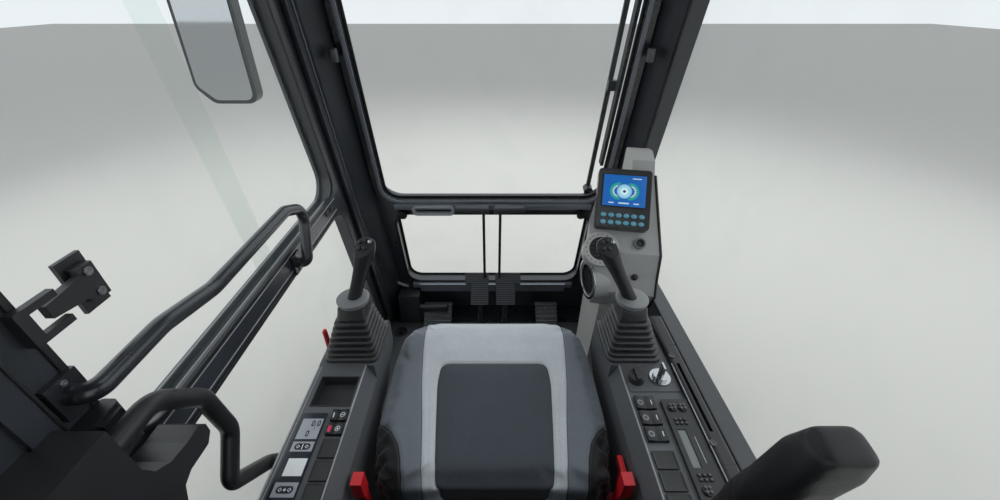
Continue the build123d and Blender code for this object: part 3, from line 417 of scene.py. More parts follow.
def leave_edit():
    bpy.ops.object.mode_set(mode="OBJECT")


def whole(middle, way):
    """A test that every part of a piece passes."""
    return True


def upright(middle, way):
    """A test for edges that stand up."""
    return abs(way.z) > 0.9


def lying(middle, way):
    """A test for edges that lie flat."""
    return abs(way.z) < 0.5


def pick_top(piece):
    """Edit mode, with the upward faces selected."""
    pick(piece, "FACE", lambda p, n: n.z > 0.9)


def draw_in(width):
    """Insets the picked faces."""
    bpy.ops.mesh.inset(thickness=width * MM)


def push(x, y, z):
    """Extrudes the picked faces."""
    bpy.ops.mesh.extrude_region_move(TRANSFORM_OT_translate={"value": (x * MM, y * MM, z * MM)})


def bevel(piece, width, segments=3, test=whole):
    """Rounds the edges that pass the test."""
    pick(piece, "EDGE", test)
    bpy.ops.mesh.bevel(offset=width * MM, segments=segments, profile=0.5, affect="EDGES",
                       clamp_overlap=True)
    leave_edit()


def slice_at(piece, place, way):
    """Cuts a loop of edges round the piece where a plane meets it."""
    pick(piece, "FACE", whole)
    bpy.ops.mesh.bisect(plane_co=[value * MM for value in place], plane_no=way, use_fill=False)
    leave_edit()


def stretch(piece, test, value, centre):
    """Scales the picked vertices about a point."""
    pick(piece, "VERT", test)
    bpy.ops.transform.resize(value=value, center_override=[c * MM for c in centre])
    leave_edit()


def shift(piece, test, value):
    """Moves the picked vertices."""
    pick(piece, "VERT", test)
    bpy.ops.transform.translate(value=[v * MM for v in value])
    leave_edit()


def modify(piece, kind, **settings):
    """Adds a modifier, sets it and applies it."""
    take(piece)
    modifier = piece.modifiers.new(kind.title(), kind)
    for key, value in settings.items():
        setattr(modifier, key, value)
    bpy.ops.object.modifier_apply(modifier=modifier.name)


def soften(piece, width, segments=2, angle=30):
    """Rounds every edge that is sharper than an angle in degrees."""
    modify(piece, "BEVEL", width=width * MM, segments=segments, limit_method="ANGLE",
           angle_limit=math.radians(angle))


def axes_at(spot, x_way, y_way, z_way):
    """The matrix that lays a piece's own axes along three directions at a spot."""
    return Matrix.Translation(spot) @ Matrix((x_way, y_way, z_way)).transposed().to_4x4()


def stand(piece, matrix):
    """Moves a piece that was made round the origin to its place, and puts the place in its mesh."""
    piece.matrix_world = matrix
    take(piece)
    bpy.ops.object.transform_apply(location=True, rotation=True, scale=True)


def copy_of(piece, name, matrix=None):
    """A copy with a mesh of its own, moved by a matrix."""
    twin = piece.copy()
    twin.data = piece.data.copy()
    twin.name = twin.data.name = name
    bpy.context.scene.collection.objects.link(twin)
    if matrix is not None:
        stand(twin, matrix)
    return twin


def joined(pieces, name):
    """Several pieces made one."""
    clear_selection()
    for piece in pieces:
        piece.select_set(True)
    bpy.context.view_layer.objects.active = pieces[0]
    if len(pieces) > 1:
        bpy.ops.object.join()
    united = bpy.context.object
    united.name = united.data.name = name
    return united


# the angle in degrees from which an edge is shaded sharp
SHARP = 35.0


def finish_piece(piece, body, material, slot_name, angle=SHARP):
    """Smooth shading, finish and body. The slot name is not used."""
    take(piece)
    bpy.ops.object.shade_smooth_by_angle(angle=math.radians(angle))
    piece.data.materials.clear()
    piece.data.materials.append(material)
    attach(piece, body)
    clear_selection()
    return piece


print("modelling helpers ready")

# %% [markdown]
# ## Filled covers
#
# A seat cushion is foam inside a sewn cover. The cover is tight, so it bulges between its seams and
# its corners round over. It could be sculpted by eye, but a cloth simulation finds that shape by
# itself: the pad is remeshed evenly, blown up a little with gravity off, and no point may move
# further than the foam would. Seams come afterwards, because a remesh would wash them out: each is a
# line on the pad, and the cover is pulled in along it. The distance to each line is also stored on
# the mesh, so that the material can change cloth exactly at a seam and lay stitches beside it.

# %% Blowing up a pad
import numpy as np

PUFF_STEPS = 20


def on_outline(p, rows):
    """Whether a point lies on the side of a pad that is given by (y, half its width) row by row."""
    for (low, half_low), (high, half_high) in zip(rows, rows[1:]):
        if low - 1 <= p.y <= high + 1:
            share = (p.y - low) / (high - low)
            return abs(abs(p.x) - (half_low + (half_high - half_low) * share)) < 6
    return False


def at_end(p, rows):
    """Whether a point lies on the pad's first or last row."""
    return min(abs(p.y - rows[0][0]), abs(p.y - rows[-1][0])) < 2


def pad_from(name, rows, heights, middle_z, columns):
    """A box that is cut across at each row, scaled to the width there, and cut along at each column."""
    widest = max(half for _, half in rows)
    pad = block(name, (-widest, rows[0][0], heights[0]), (widest, rows[-1][0], heights[1]))
    for y, _ in rows[1:-1]:
        slice_at(pad, (0, y, 0), (0, 1, 0))
    for y, half in rows:
        stretch(pad, lambda p, n: abs(p.y - y) < 1, (half / widest, 1, 1), (0, y, middle_z))
    for x in columns:
        slice_at(pad, (x, 0, 0), (1, 0, 0))
    return pad


def puff(piece, voxel, cap, pinned, pressure=4.0, smoothing=8):
    """Remeshes a pad, fills it with air, and caps how far each point goes. Pinned points stay."""
    modify(piece, "REMESH", mode="VOXEL", voxel_size=voxel * MM)
    modify(piece, "SMOOTH", factor=0.5, iterations=smoothing)
    start = [vertex.co.copy() for vertex in piece.data.vertices]
    held = piece.vertex_groups.new(name="held")
    held.add([i for i, spot in enumerate(start) if pinned(spot / MM)], 1.0, "REPLACE")
    take(piece)
    cloth = piece.modifiers.new("Cover", "CLOTH")
    cover = cloth.settings
    cover.quality, cover.mass, cover.vertex_group_mass = 5, 0.3, "held"
    cover.use_pressure, cover.uniform_pressure_force = True, pressure
    cover.effector_weights.gravity = 0.0
    cloth.collision_settings.use_collision = False
    for step in range(1, PUFF_STEPS + 1):
        bpy.context.scene.frame_set(step)
    bpy.ops.object.modifier_apply(modifier=cloth.name)
    bpy.context.scene.frame_set(1)
    for vertex, first in zip(piece.data.vertices, start):
        move = vertex.co - first
        if move.length > cap * MM:
            vertex.co = first + move.normalized() * cap * MM
    piece.vertex_groups.clear()
    modify(piece, "SUBSURF", levels=1, render_levels=1)


def beside(spots, line):
    """For points in a plane: signed distance to a line of points, and how far along it they are."""
    best = np.full(len(spots), 1e9)
    side = np.zeros(len(spots))
    run = np.zeros(len(spots))
    walked = 0.0
    for first, second in zip(line, line[1:]):
        first, second = np.array(first, float), np.array(second, float)
        way = second - first
        length = math.hypot(*way)
        share = np.clip(((spots - first) @ way) / length ** 2, 0.0, 1.0)
        gap = spots - (first + share[:, None] * way)
        distance = np.hypot(gap[:, 0], gap[:, 1])
        closer = distance < best
        best = np.where(closer, distance, best)
        side = np.where(closer, way[0] * gap[:, 1] - way[1] * gap[:, 0], side)
        run = np.where(closer, walked + share * length, run)
        walked += length
    return best * np.where(side < 0, -1.0, 1.0), run


def arc_through(first, middle, last, steps):
    """Points on the curve from first to last that bends towards middle."""
    shares = [i / steps for i in range(steps + 1)]
    return [tuple(first * (1 - t) ** 2 + middle * 2 * t * (1 - t) + last * t ** 2) for t in shares]


def rounded_line(points, radius, steps=5):
    """A closed line of points with its corners rounded."""
    line = []
    for i, point in enumerate(points):
        corner = Vector(point)
        back = (Vector(points[i - 1]) - corner).normalized() * radius
        ahead = (Vector(points[(i + 1) % len(points)]) - corner).normalized() * radius
        line += arc_through(corner + back, corner, corner + ahead, steps)
    return line + line[:1]


def store(piece, name, values):
    """Keeps a number for each vertex under a name that a material can read."""
    layer = piece.data.attributes.new(name, "FLOAT", "POINT")
    layer.data.foreach_set("value", np.asarray(values, np.float32))


def spots_of(piece):
    """The vertices' places in millimetres, a row for each."""
    spots = np.empty(len(piece.data.vertices) * 3)
    piece.data.vertices.foreach_get("co", spots)
    return spots.reshape(-1, 3) / MM


def pull_in(piece, amounts):
    """Moves each vertex inwards along its normal by an amount in millimetres."""
    normals = np.array([vertex.normal for vertex in piece.data.vertices])
    spots = spots_of(piece) - normals * np.asarray(amounts)[:, None]
    piece.data.vertices.foreach_set("co", (spots * MM).ravel())
    piece.data.update()


def groove(distance, depth, width):
    """How far the cover is pulled in at a distance from a seam."""
    return depth * np.exp(-(distance / width) ** 2)


def sew(pad, lines, sink, **panels):
    """Pulls the cover in, and stores how far each vertex is inside a panel and beside a seam."""
    pull_in(pad, sink)
    nearest = np.argmin([np.abs(distance) for distance, _ in lines], axis=0)
    for name, values in panels.items():
        store(pad, name, values)
    for name, choices in zip(("seam", "run"), zip(*lines)):
        store(pad, name, np.choose(nearest, choices))


print("cover helpers ready")

# %% [markdown]
# ## The seat cushion
#
# Its cover is sewn from four cloths: a pale band that runs along both sides and across the front, a
# dark insert where one sits, mid-grey bolsters, and black vinyl gussets at the rear corners that
# crease when the seat moves. The pad starts as a box. Loops are cut across it, and each is scaled to
# the pad's width there, which gives the outline seen from above.

# %% Shaping and sewing the seat cushion
SEAT_ROWS = ((-217, 203), (-190, 232), (-140, 247), (-90, 254), (0, 255), (95, 254), (175, 246),
             (220, 226), (241, 192), (251, 150))
SEAT_MIDDLE = 4.0
BAND_HALF = ((300, 189), (210, 187), (122, 181), (28, 171), (-76, 155), (-163, 144), (-229, 136),
             (-300, 130))
INSERT_HALF = ((86, 130), (28, 134), (-100, 123), (-212, 112))
GUSSET_HALF = ((-74, 275), (-77, 256), (-82, 236), (-100, 215), (-126, 196), (-155, 186), (-190, 179),
               (-300, 172))


def seat_cushion():
    pad = pad_from("seat_cushion_cover", SEAT_ROWS, (470, 574), 520, (-205, -150, 0, 150, 205))
    for test, drop in ((lambda p: abs(p.x) < 160 and -200 < p.y < 200, -5), (lambda p: p.y > 215, -9),
                       (lambda p: p.y < -200, -6)):
        shift(pad, lambda p, n: p.z > 560 and test(p), (0, 0, drop))
    bevel(pad, 20, 4, lambda p, way: p.z > 545 and abs(way.z) < 0.5
          and (at_end(p, SEAT_ROWS) or on_outline(p, SEAT_ROWS)))
    bevel(pad, 9, 3, lambda p, way: p.z < 475 and (at_end(p, SEAT_ROWS) or on_outline(p, SEAT_ROWS)))
    puff(pad, 5.5, 9.0, lambda spot: spot.z < 480)
    return pad


def both_sides(half_line, middle):
    """The left line from rear to front and the right line from front to rear."""
    left = [(middle - half, y) for y, half in reversed(half_line)]
    right = [(middle + half, y) for y, half in half_line]
    return left, right


def sew_seat(pad):
    spots = spots_of(pad)
    plan = spots[:, :2]
    upper = np.clip((spots[:, 2] - 478) / 30.0, 0.0, 1.0)
    left, right = both_sides(BAND_HALF, SEAT_MIDDLE)
    to_left, run_left = beside(plan, left)
    to_right, run_right = beside(plan, right)
    band = np.minimum(-to_left, -to_right)
    left_in, right_in = both_sides(INSERT_HALF, SEAT_MIDDLE)
    insert_line = rounded_line(left_in + right_in, 22)
    to_insert, run_insert = beside(plan, insert_line)
    gusset_left, gusset_right = both_sides(GUSSET_HALF, SEAT_MIDDLE)
    to_gl, run_gl = beside(plan, gusset_left)
    to_gr, run_gr = beside(plan, gusset_right)
    gusset = np.maximum(to_gl, to_gr)
    lines = ((to_left, run_left), (to_right, run_right), (to_insert, run_insert), (to_gl, run_gl),
             (to_gr, run_gr))
    sink = groove(to_left, 2.2, 3.2) + groove(to_right, 2.2, 3.2)
    sink += groove(to_insert, 3.2, 3.6) + groove(to_insert, 4.0, 26.0)
    sink += groove(to_gl, 2.4, 3.4) + groove(to_gr, 2.4, 3.4)
    folds = np.sin(run_gl / 7.5 + 0.05 * to_gl) + np.sin(run_gr / 6.5 - 0.04 * to_gr + 1.3)
    folds += 0.6 * np.sin(spots[:, 2] / 5.0 + spots[:, 1] / 9.0)
    inside = np.clip((gusset - 5.0) / 16.0, 0.0, 1.0)
    sink += inside * (2.2 + 1.7 * folds)
    sew(pad, lines, sink * upper, band=band, insert=-to_insert, gusset=gusset)


seat_pad = seat_cushion()
sew_seat(seat_pad)
print("seat cushion", len(seat_pad.data.polygons), "faces, top",
      round(float(spots_of(seat_pad)[:, 2].max()), 1))

# %% [markdown]
# ## Seat cloths
#
# All four cloths are one material, because they meet at seams on one mesh. The stored distances pick
# the colour: where a distance is above nothing, one is inside that panel. The weave is two crossed
# threads, each a stretched noise, and stitches are a dashed line beside each seam. Cloth is matt, and
# its loose fibres catch light at a flat angle, which the sheen stands for.

# %% Woven cloths and stitched seams
def seat_cloth(name, light, middle, dark, black):
    made = Finish(name, Specular_IOR_Level=0.22, Sheen_Weight=0.18, Sheen_Roughness=0.45)

    def stored(key):
        return made.node("Attribute", {"attribute_name": key}, None, 2)

    along = made.noise(260.0, 3.0, 0.6, made.stretched((1.0, 7.0, 3.0)))
    across = made.noise(260.0, 3.0, 0.6, made.stretched((7.0, 1.0, 3.0)))
    grain = made.noise(900.0, 3.0, 0.7)
    patch = made.noise(14.0, 4.0)
    thread = along * 0.5 + across * 0.5
    in_band = (stored("band") * 1.6 + 0.5).clamp()
    in_insert = (stored("insert") * 1.6 + 0.5).clamp()
    in_gusset = (stored("gusset") * 1.6 + 0.5).clamp()
    cloth = made.mix(made.mix(middle, light, in_band), dark, in_insert)
    cloth = made.mix(cloth, (0.0, 0.0, 0.0), ((0.62 - thread) * 1.1 + (0.55 - grain) * 0.5
                                              + (0.5 - patch) * 0.25).clamp(0.0, 0.55))
    cloth = made.mix(cloth, (1.0, 1.0, 1.0), ((grain - 0.60) * 0.5).clamp(0.0, 0.12))
    distance = stored("seam")
    dash = (stored("run") / 3.4).repeat()
    stitch = (1.0 - (distance.size() - 3.2).size() * 2.2).clamp()
    stitch = stitch * ((dash - 0.25) * 8.0).clamp() * (1.0 - in_insert)
    # each seam's line is painted near-black: partly its dark joint, partly painted shade in the
    # pulled-in groove
    seam_joint_shade = (1.0 - distance.size() / 1.5).clamp()
    skin = made.mix(cloth, black, in_gusset)
    skin = made.mix(skin, (0.30, 0.31, 0.32), stitch * 0.35)
    skin = made.mix(skin, (0.004, 0.004, 0.005), seam_joint_shade * 0.85)
    leather = made.cells(700.0)
    height = (thread * 0.6 + grain * 0.5) * (1.0 - in_gusset) + leather * in_gusset * 0.4 + stitch * 0.8
    rough = (0.86 - in_gusset * 0.42 + (patch - 0.5) * 0.1).clamp()
    made.set(Base_Color=skin, Roughness=rough, Normal=made.bump(height, 0.45, 0.0006))
    return made.material


seat_weave = seat_cloth("seat_weave", (0.50, 0.53, 0.57), (0.150, 0.168, 0.195), (0.062, 0.070, 0.085),
                        (0.012, 0.012, 0.013))
finish_piece(seat_pad, "seat", seat_weave, "seat_fabric", 180.0)
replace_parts(seat_pad, "seat_cushion")
print("seat cushion sewn")

# %% [markdown]
# ## The backrest
#
# The backrest is the same build: raised bolsters beside a flatter middle, sewn across below the
# shoulders and below the head. It is modelled lying flat, with its length along Y, because rows of
# vertices are then easy to pick, and it is stood up at the end by one matrix.

# %% Shaping and sewing the backrest
RECLINE = math.radians(28.0)
PIVOT = Vector((0.0, -0.262, 0.540))
BACK_ROWS = ((54, 205), (80, 219), (150, 221), (300, 216), (430, 208), (470, 190), (560, 184),
             (600, 170), (616, 140))
BACK_BAND = ((40, 136), (200, 128), (430, 120), (640, 116))
BACK_INSERT = ((40, 92), (200, 88), (452, 82))


def back_matrix():
    """From the lying pad (X across, Y up the back, Z out of it) to its place in the cab."""
    up = Vector((0.0, -math.sin(RECLINE), math.cos(RECLINE)))
    out = Vector((0.0, math.cos(RECLINE), math.sin(RECLINE)))
    return axes_at(PIVOT, up.cross(out), up, out)


def back_cushion():
    pad = pad_from("backrest_cover", BACK_ROWS, (-46, 34), 0, (-165, -125, 0, 125, 165))
    for test, drop in ((lambda p: abs(p.x) < 130 and p.y < 440, -16),
                       (lambda p: abs(p.x) > 150 and p.y < 100, -14), (lambda p: p.y > 590, -14)):
        shift(pad, lambda p, n: p.z > 30 and test(p), (0, 0, drop))
    bevel(pad, 24, 4, lambda p, way: p.z > 14 and (
        at_end(p, BACK_ROWS) or abs(p.x) > 140 and abs(way.z) < 0.3 and on_outline(p, BACK_ROWS)))
    bevel(pad, 10, 3, lambda p, way: p.z < -40 and (at_end(p, BACK_ROWS) or on_outline(p, BACK_ROWS)))
    puff(pad, 6.0, 10.0, lambda spot: spot.z < -38)
    return pad


def sew_back(pad):
    spots = spots_of(pad)
    plan = spots[:, :2]
    upper = np.clip((spots[:, 2] + 30) / 30.0, 0.0, 1.0)
    to_left, run_left = beside(plan, [(-half, y) for y, half in BACK_BAND])
    to_right, run_right = beside(plan, [(half, y) for y, half in reversed(BACK_BAND)])
    insert_line = rounded_line([(-half, y) for y, half in BACK_INSERT]
                               + [(half, y) for y, half in reversed(BACK_INSERT)], 20)
    to_insert, run_insert = beside(plan, insert_line)
    to_insert = -to_insert
    to_head, run_head = beside(plan, [(-400, 456), (400, 456)])
    to_waist, run_waist = beside(plan, [(-84, 230), (84, 230)])
    lines = ((to_left, run_left), (to_right, run_right), (to_insert, run_insert), (to_head, run_head),
             (to_waist, run_waist))
    sink = groove(to_left, 2.4, 3.4) + groove(to_right, 2.4, 3.4) + groove(to_insert, 3.0, 3.8)
    sink += groove(to_head, 2.4, 3.6) + groove(to_head, 6.0, 16.0)
    sink += groove(to_waist, 2.4, 3.6) + groove(to_waist, 4.0, 18.0)
    sew(pad, lines, sink * upper, band=np.minimum(-to_left, -to_right), insert=to_insert,
        gusset=np.where(spots[:, 2] < -44, 50.0, -50.0))


back_pad = back_cushion()
sew_back(back_pad)
stand(back_pad, back_matrix())
finish_piece(back_pad, "backrest", seat_weave, "seat_fabric", 180.0)
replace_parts(back_pad, "backrest_cushion")
print("backrest", len(back_pad.data.polygons), "faces")

# %% [markdown]
# ## The armrest
#
# The raised armrest is a foam pad in soft black vinyl over a steel core. It has no seams on top, only
# the crown that the foam gives it, so the same simulation with a small cap is enough.

# %% Armrest pad
def vinyl(name, colour, light):
    made = Finish(name, Specular_IOR_Level=0.5)
    pebble = made.cells(520.0)
    broad = made.noise(9.0, 4.0)
    fine = made.noise(60.0, 5.0, 0.65)
    made.set(Base_Color=made.mix(colour, light, (broad * 0.6 + (fine - 0.5) * 0.4).clamp()),
             Roughness=(0.40 + (fine - 0.5) * 0.2 + pebble * 0.06).clamp(),
             Normal=made.bump(pebble, 0.30, 0.0004))
    return made.material


soft_vinyl = vinyl("soft_vinyl", (0.010, 0.010, 0.011), (0.022, 0.022, 0.024))
# the raised pad's lean, and its shaft's place up along the backrest and in front of it, in metres
ARM_LEAN = math.radians(9.3)
ARM_SHAFT = (0.194, 0.040)


def armrest_pad():
    """Lying along Y round its shaft, X across the pad and Z through it, then stood up."""
    pad = block("armrest_cover", (302, -31, -24), (378, 259, 24))
    for y in (60, 150, 220):
        slice_at(pad, (0, y, 0), (0, 1, 0))
    stretch(pad, lambda p, n: p.y > 250, (0.82, 1, 0.8), (340, 259, 0))
    stretch(pad, lambda p, n: p.y < -25, (0.9, 1, 0.8), (340, -31, 0))
    bevel(pad, 15, 4, lambda p, way: abs(way.x) < 0.98 and (abs(p.z) > 18 or p.y > 255 or p.y < -28))
    puff(pad, 4.5, 3.0, lambda spot: False, 3.0, 6)
    up = Vector((0.0, -math.sin(ARM_LEAN), math.cos(ARM_LEAN)))
    across = Vector((1.0, 0.0, 0.0))
    up_back, off_back = ARM_SHAFT
    shaft = PIVOT + Vector((0.0, -up_back * math.sin(RECLINE) + off_back * math.cos(RECLINE),
                            up_back * math.cos(RECLINE) + off_back * math.sin(RECLINE)))
    stand(pad, axes_at(shaft, across, up, across.cross(up)))
    return pad


arm_pad = armrest_pad()
finish_piece(arm_pad, "armrest", soft_vinyl, "soft_black", 180.0)
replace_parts(arm_pad, "right_armrest")
print("armrest pad z", round(float(spots_of(arm_pad)[:, 2].min())),
      round(float(spots_of(arm_pad)[:, 2].max())))

# %% [markdown]
# ## Boots and joysticks
#
# A joystick leaves its console through a pleated rubber boot. The boot is a stack of square plates
# that get smaller upwards, with a deep fold between two plates, and it ends in a plain cone. One
# starts with the flange, and each plate is the top face extruded, widened and drawn in again. The
# construction model has the same boot with sharp, plain pleats, and this one takes its place.

# %% Pleated boots
BOOT_X = 323.0
BOOT_Y = 92.0
BOOT_HALF = 62.0
BOOT_HIGH = 126.0
BOOT_DRIFT = (-12.0, 6.0)
FLANGE = 8.0
PLEATS = 6
PLEAT_STEP = 14.0


def grow_top(piece, top, rise, drift, size_from, size_to):
    """Extrudes the top face upwards and scales it from one width to another."""
    pick(piece, "FACE", lambda p, n: n.z > 0.9 and abs(p.z - top) < 0.05)
    move = (drift[0] * rise / BOOT_HIGH, drift[1] * rise / BOOT_HIGH, rise)
    push(*move)
    leave_edit()
    ring = [v.co / MM for v in piece.data.vertices if abs(v.co.z / MM - top - rise) < 0.05]
    centre = sum(ring, Vector()) / len(ring)
    share = size_to / size_from
    stretch(piece, lambda p, n: abs(p.z - top - rise) < 0.05, (share, share, 1), centre)


def pleated_boot(side):
    x, top, size = side * BOOT_X, CONSOLE_TOP + FLANGE, 2 * BOOT_HALF
    boot = block("boot", (x - BOOT_HALF, BOOT_Y - BOOT_HALF, CONSOLE_TOP),
                 (x + BOOT_HALF, BOOT_Y + BOOT_HALF, top))
    bevel(boot, 17, 4, upright)
    drift = (side * BOOT_DRIFT[0], BOOT_DRIFT[1])
    # each step: how far the top face rises, and how wide it gets
    steps = [(2.5, 117.0)]
    for i in range(PLEATS):
        wide = 116.0 - 8.0 * i
        steps += [(0.8, wide - 18), (1.8, wide - 18), (0.8, wide - 1.5), (1.6, wide), (4.0, wide),
                  (1.6, wide - 2.0), (0.8, wide - 12), (2.6, wide - 24)]
    neck = BOOT_HIGH - FLANGE - 2.5 - PLEATS * PLEAT_STEP - 16.0
    steps += [(1.0, 64.0), (4.0, 64.0), (11.0, 60.0), (neck, 57.0)]
    for rise, wide in steps:
        grow_top(boot, top, rise, drift, size, wide)
        top, size = top + rise, wide
    soften(boot, 0.6)
    return boot


for side, word in SIDES:
    boot = pleated_boot(side)
    boot.name = boot.data.name = word + "_bellows"
    finish_piece(boot, "cab", boot_rubber, "boot_rubber", 40.0)
    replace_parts(boot, word + "_boot")
    print(boot.name, "top", round(max(v.co.z for v in boot.data.vertices) / MM, 1))

# %% [markdown]
# A joystick is a round shaft that swells into a head for the thumb. Its head carries a flat face with
# rocker keys. The shaft starts as a short cylinder, and its end face is extruded along the axis and
# scaled again and again. A subdivision surface then runs a smooth skin through all those rings.

# %% Joysticks
GRIP_REACH = {-1: (-32.0, 50.0, 108.0), 1: (-59.0, 48.0, 108.0)}
# share of the way up, width and depth of each ring
GRIP_RINGS = ((0.03, 30, 32), (0.20, 29, 31), (0.42, 30, 33), (0.60, 32, 38), (0.74, 37, 46),
              (0.88, 43, 52), (1.00, 44, 54), (1.10, 41, 50), (1.17, 33, 42), (1.20, 20, 28))


def joystick(side, word):
    foot = Vector((side * (BOOT_X + BOOT_DRIFT[0]), BOOT_Y + BOOT_DRIFT[1], CONSOLE_TOP + BOOT_HIGH))
    out, ahead, up = GRIP_REACH[side]
    reach = Vector((side * out, ahead, up))
    axis = reach.normalized()
    wide = Vector((1, 0, 0)).cross(axis).cross(axis).normalized() * -1
    deep = axis.cross(wide)
    place = axes_at((0, 0, 0), wide, deep, axis)
    stick = drum(word + "_joystick", (0, 0, 4), 15, 6, 16)
    low = 7.0
    size = (30.0, 30.0)
    for share, w, d in GRIP_RINGS:
        rise = share * reach.length - low
        pick(stick, "FACE", lambda p, n: n.z > 0.9 and abs(p.z - low) < 0.5)
        push(0, 0, rise)
        leave_edit()
        stretch(stick, lambda p, n: abs(p.z - low - rise) < 0.5, (w / size[0], d / size[1], 1),
                (0, 0, low + rise))
        low, size = low + rise, (w, d)
    modify(stick, "SUBSURF", levels=2, render_levels=2)
    head = Vector((0, 0, reach.length * 1.02))
    # the head's flat face is cut by a plane that leans back to the operator
    cut = Vector((0.0, -0.50, 0.866))
    local = place.to_3x3().inverted() @ cut
    pick(stick, "FACE", whole)
    bpy.ops.mesh.bisect(plane_co=head * MM + local * 0.010, plane_no=local, use_fill=True,
                        clear_outer=True)
    leave_edit()
    bevel(stick, 2.2, 3, lambda p, way: abs((p - head - local * 10).dot(local)) < 0.4)
    stand(stick, Matrix.Translation(foot * MM) @ place)
    finish_piece(stick, "cab", soft_vinyl, "switch_black", 38.0)
    centre = foot + place.to_3x3() @ (head + local * 10)
    across = Vector((1, 0, 0))
    return foot, axes_at(centre * MM, across, cut.cross(across), cut)


def joystick_keys(word, face, collar_place):
    """Three thumb keys, a small round one, and the ring that seals the shaft to the boot."""
    key = drum("key", (0, 0, 1), 4.6, 4.5, 20)
    bevel(key, 1.2, 2, lambda p, way: abs(way.z) < 0.5 and p.z > 2)
    keys = []
    for x, y, tall in ((-11, 9, 1.0), (0, 14, 1.25), (11, 9, 1.0), (2, -7, 0.8)):
        keys.append(copy_of(key, "key", face @ Matrix.Translation(Vector((x, y, 0)) * MM)
                            @ Matrix.Diagonal((1, tall, 1, 1))))
    square_key = block("square_key", (-4, -4, 0), (4, 4, 4.5))
    bevel(square_key, 1.5, 2)
    keys.append(copy_of(square_key, "key", face @ Matrix.Translation(Vector((-11, -7, 0)) * MM)))
    for pattern in (key, square_key):
        bpy.data.objects.remove(pattern)
    bright = keys.pop(2)
    bright.name = bright.data.name = word + "_thumb_key"
    finish_piece(bright, "cab", steel, "chrome")
    finish_piece(joined(keys, word + "_thumb_keys"), "cab", switch_black, "switch_black")
    ring = drum(word + "_collar", collar_place, 34, 5, 40)
    bevel(ring, 2.2, 3, lying)
    pick_top(ring)
    draw_in(5)
    push(0, 0, 4)
    draw_in(8)
    push(0, 0, 3)
    leave_edit()
    soften(ring, 1.0)
    return finish_piece(ring, "cab", collar_grey_and_highlight, "boot_rubber")


# a mid grey, lighter than the boots' rubber: partly the rings' own grey, partly a painted reflection of
# the bright collars
collar_grey_and_highlight = moulded("collar_grey_and_highlight", (0.17, 0.175, 0.185), (0.26, 0.265, 0.275), 1400.0, 0.30, 0.0001)
for side, word in SIDES:
    foot, face = joystick(side, word)
    joystick_keys(word, face, foot + Vector((0, 0, 2.5)))
    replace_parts(bpy.data.objects[word + "_joystick"], word + "_grip")
print("joysticks ready")

# %% [markdown]
# ## The display and the vents
#
# The display is a flat housing on the column's sloping face. Its screen lies behind a clear cover in a
# shallow step, with two rows of soft keys below. The step and the keys are modelled, and the picture
# on the screen is drawn by the material: circles and arcs are only distances from a centre, so a few
# comparisons on the piece's own UV map give the gauges. It is a plain gauge picture with no words.

# %% The display's frame of reference
COLUMN_YAW = math.radians(10.2)
COLUMN_SLOPE = math.radians(47.5)
ALONG = Vector((math.cos(COLUMN_YAW), -math.sin(COLUMN_YAW), 0.0))
FACE_OUT = ALONG.cross(Vector((0.0, math.cos(COLUMN_SLOPE), math.sin(COLUMN_SLOPE)))).normalized()
FACE_UP = FACE_OUT.cross(ALONG)
CREASE = Vector((0.450, 0.298, 0.751))
SCREEN_SIZE = (141.0, 166.0)
SCREEN_MIDDLE = (-109.7, 142.0)
HOUSING_DEEP = 28.0


def on_column(along, up, out):
    """A matrix that stands a piece on the column's face, turned with it."""
    spot = CREASE + (ALONG * along + FACE_UP * up + FACE_OUT * out) * MM
    return axes_at(spot, ALONG, FACE_UP, FACE_OUT)


def on_housing(x, y, out=0.0):
    """The same from the housing's top left corner, x to the right and y downwards."""
    return on_column(SCREEN_MIDDLE[0] - SCREEN_SIZE[0] / 2 + x,
                     SCREEN_MIDDLE[1] + SCREEN_SIZE[1] / 2 - y,
                     HOUSING_DEEP + out)


print("display middle", [round(v, 3) for v in on_housing(70, 83).translation])

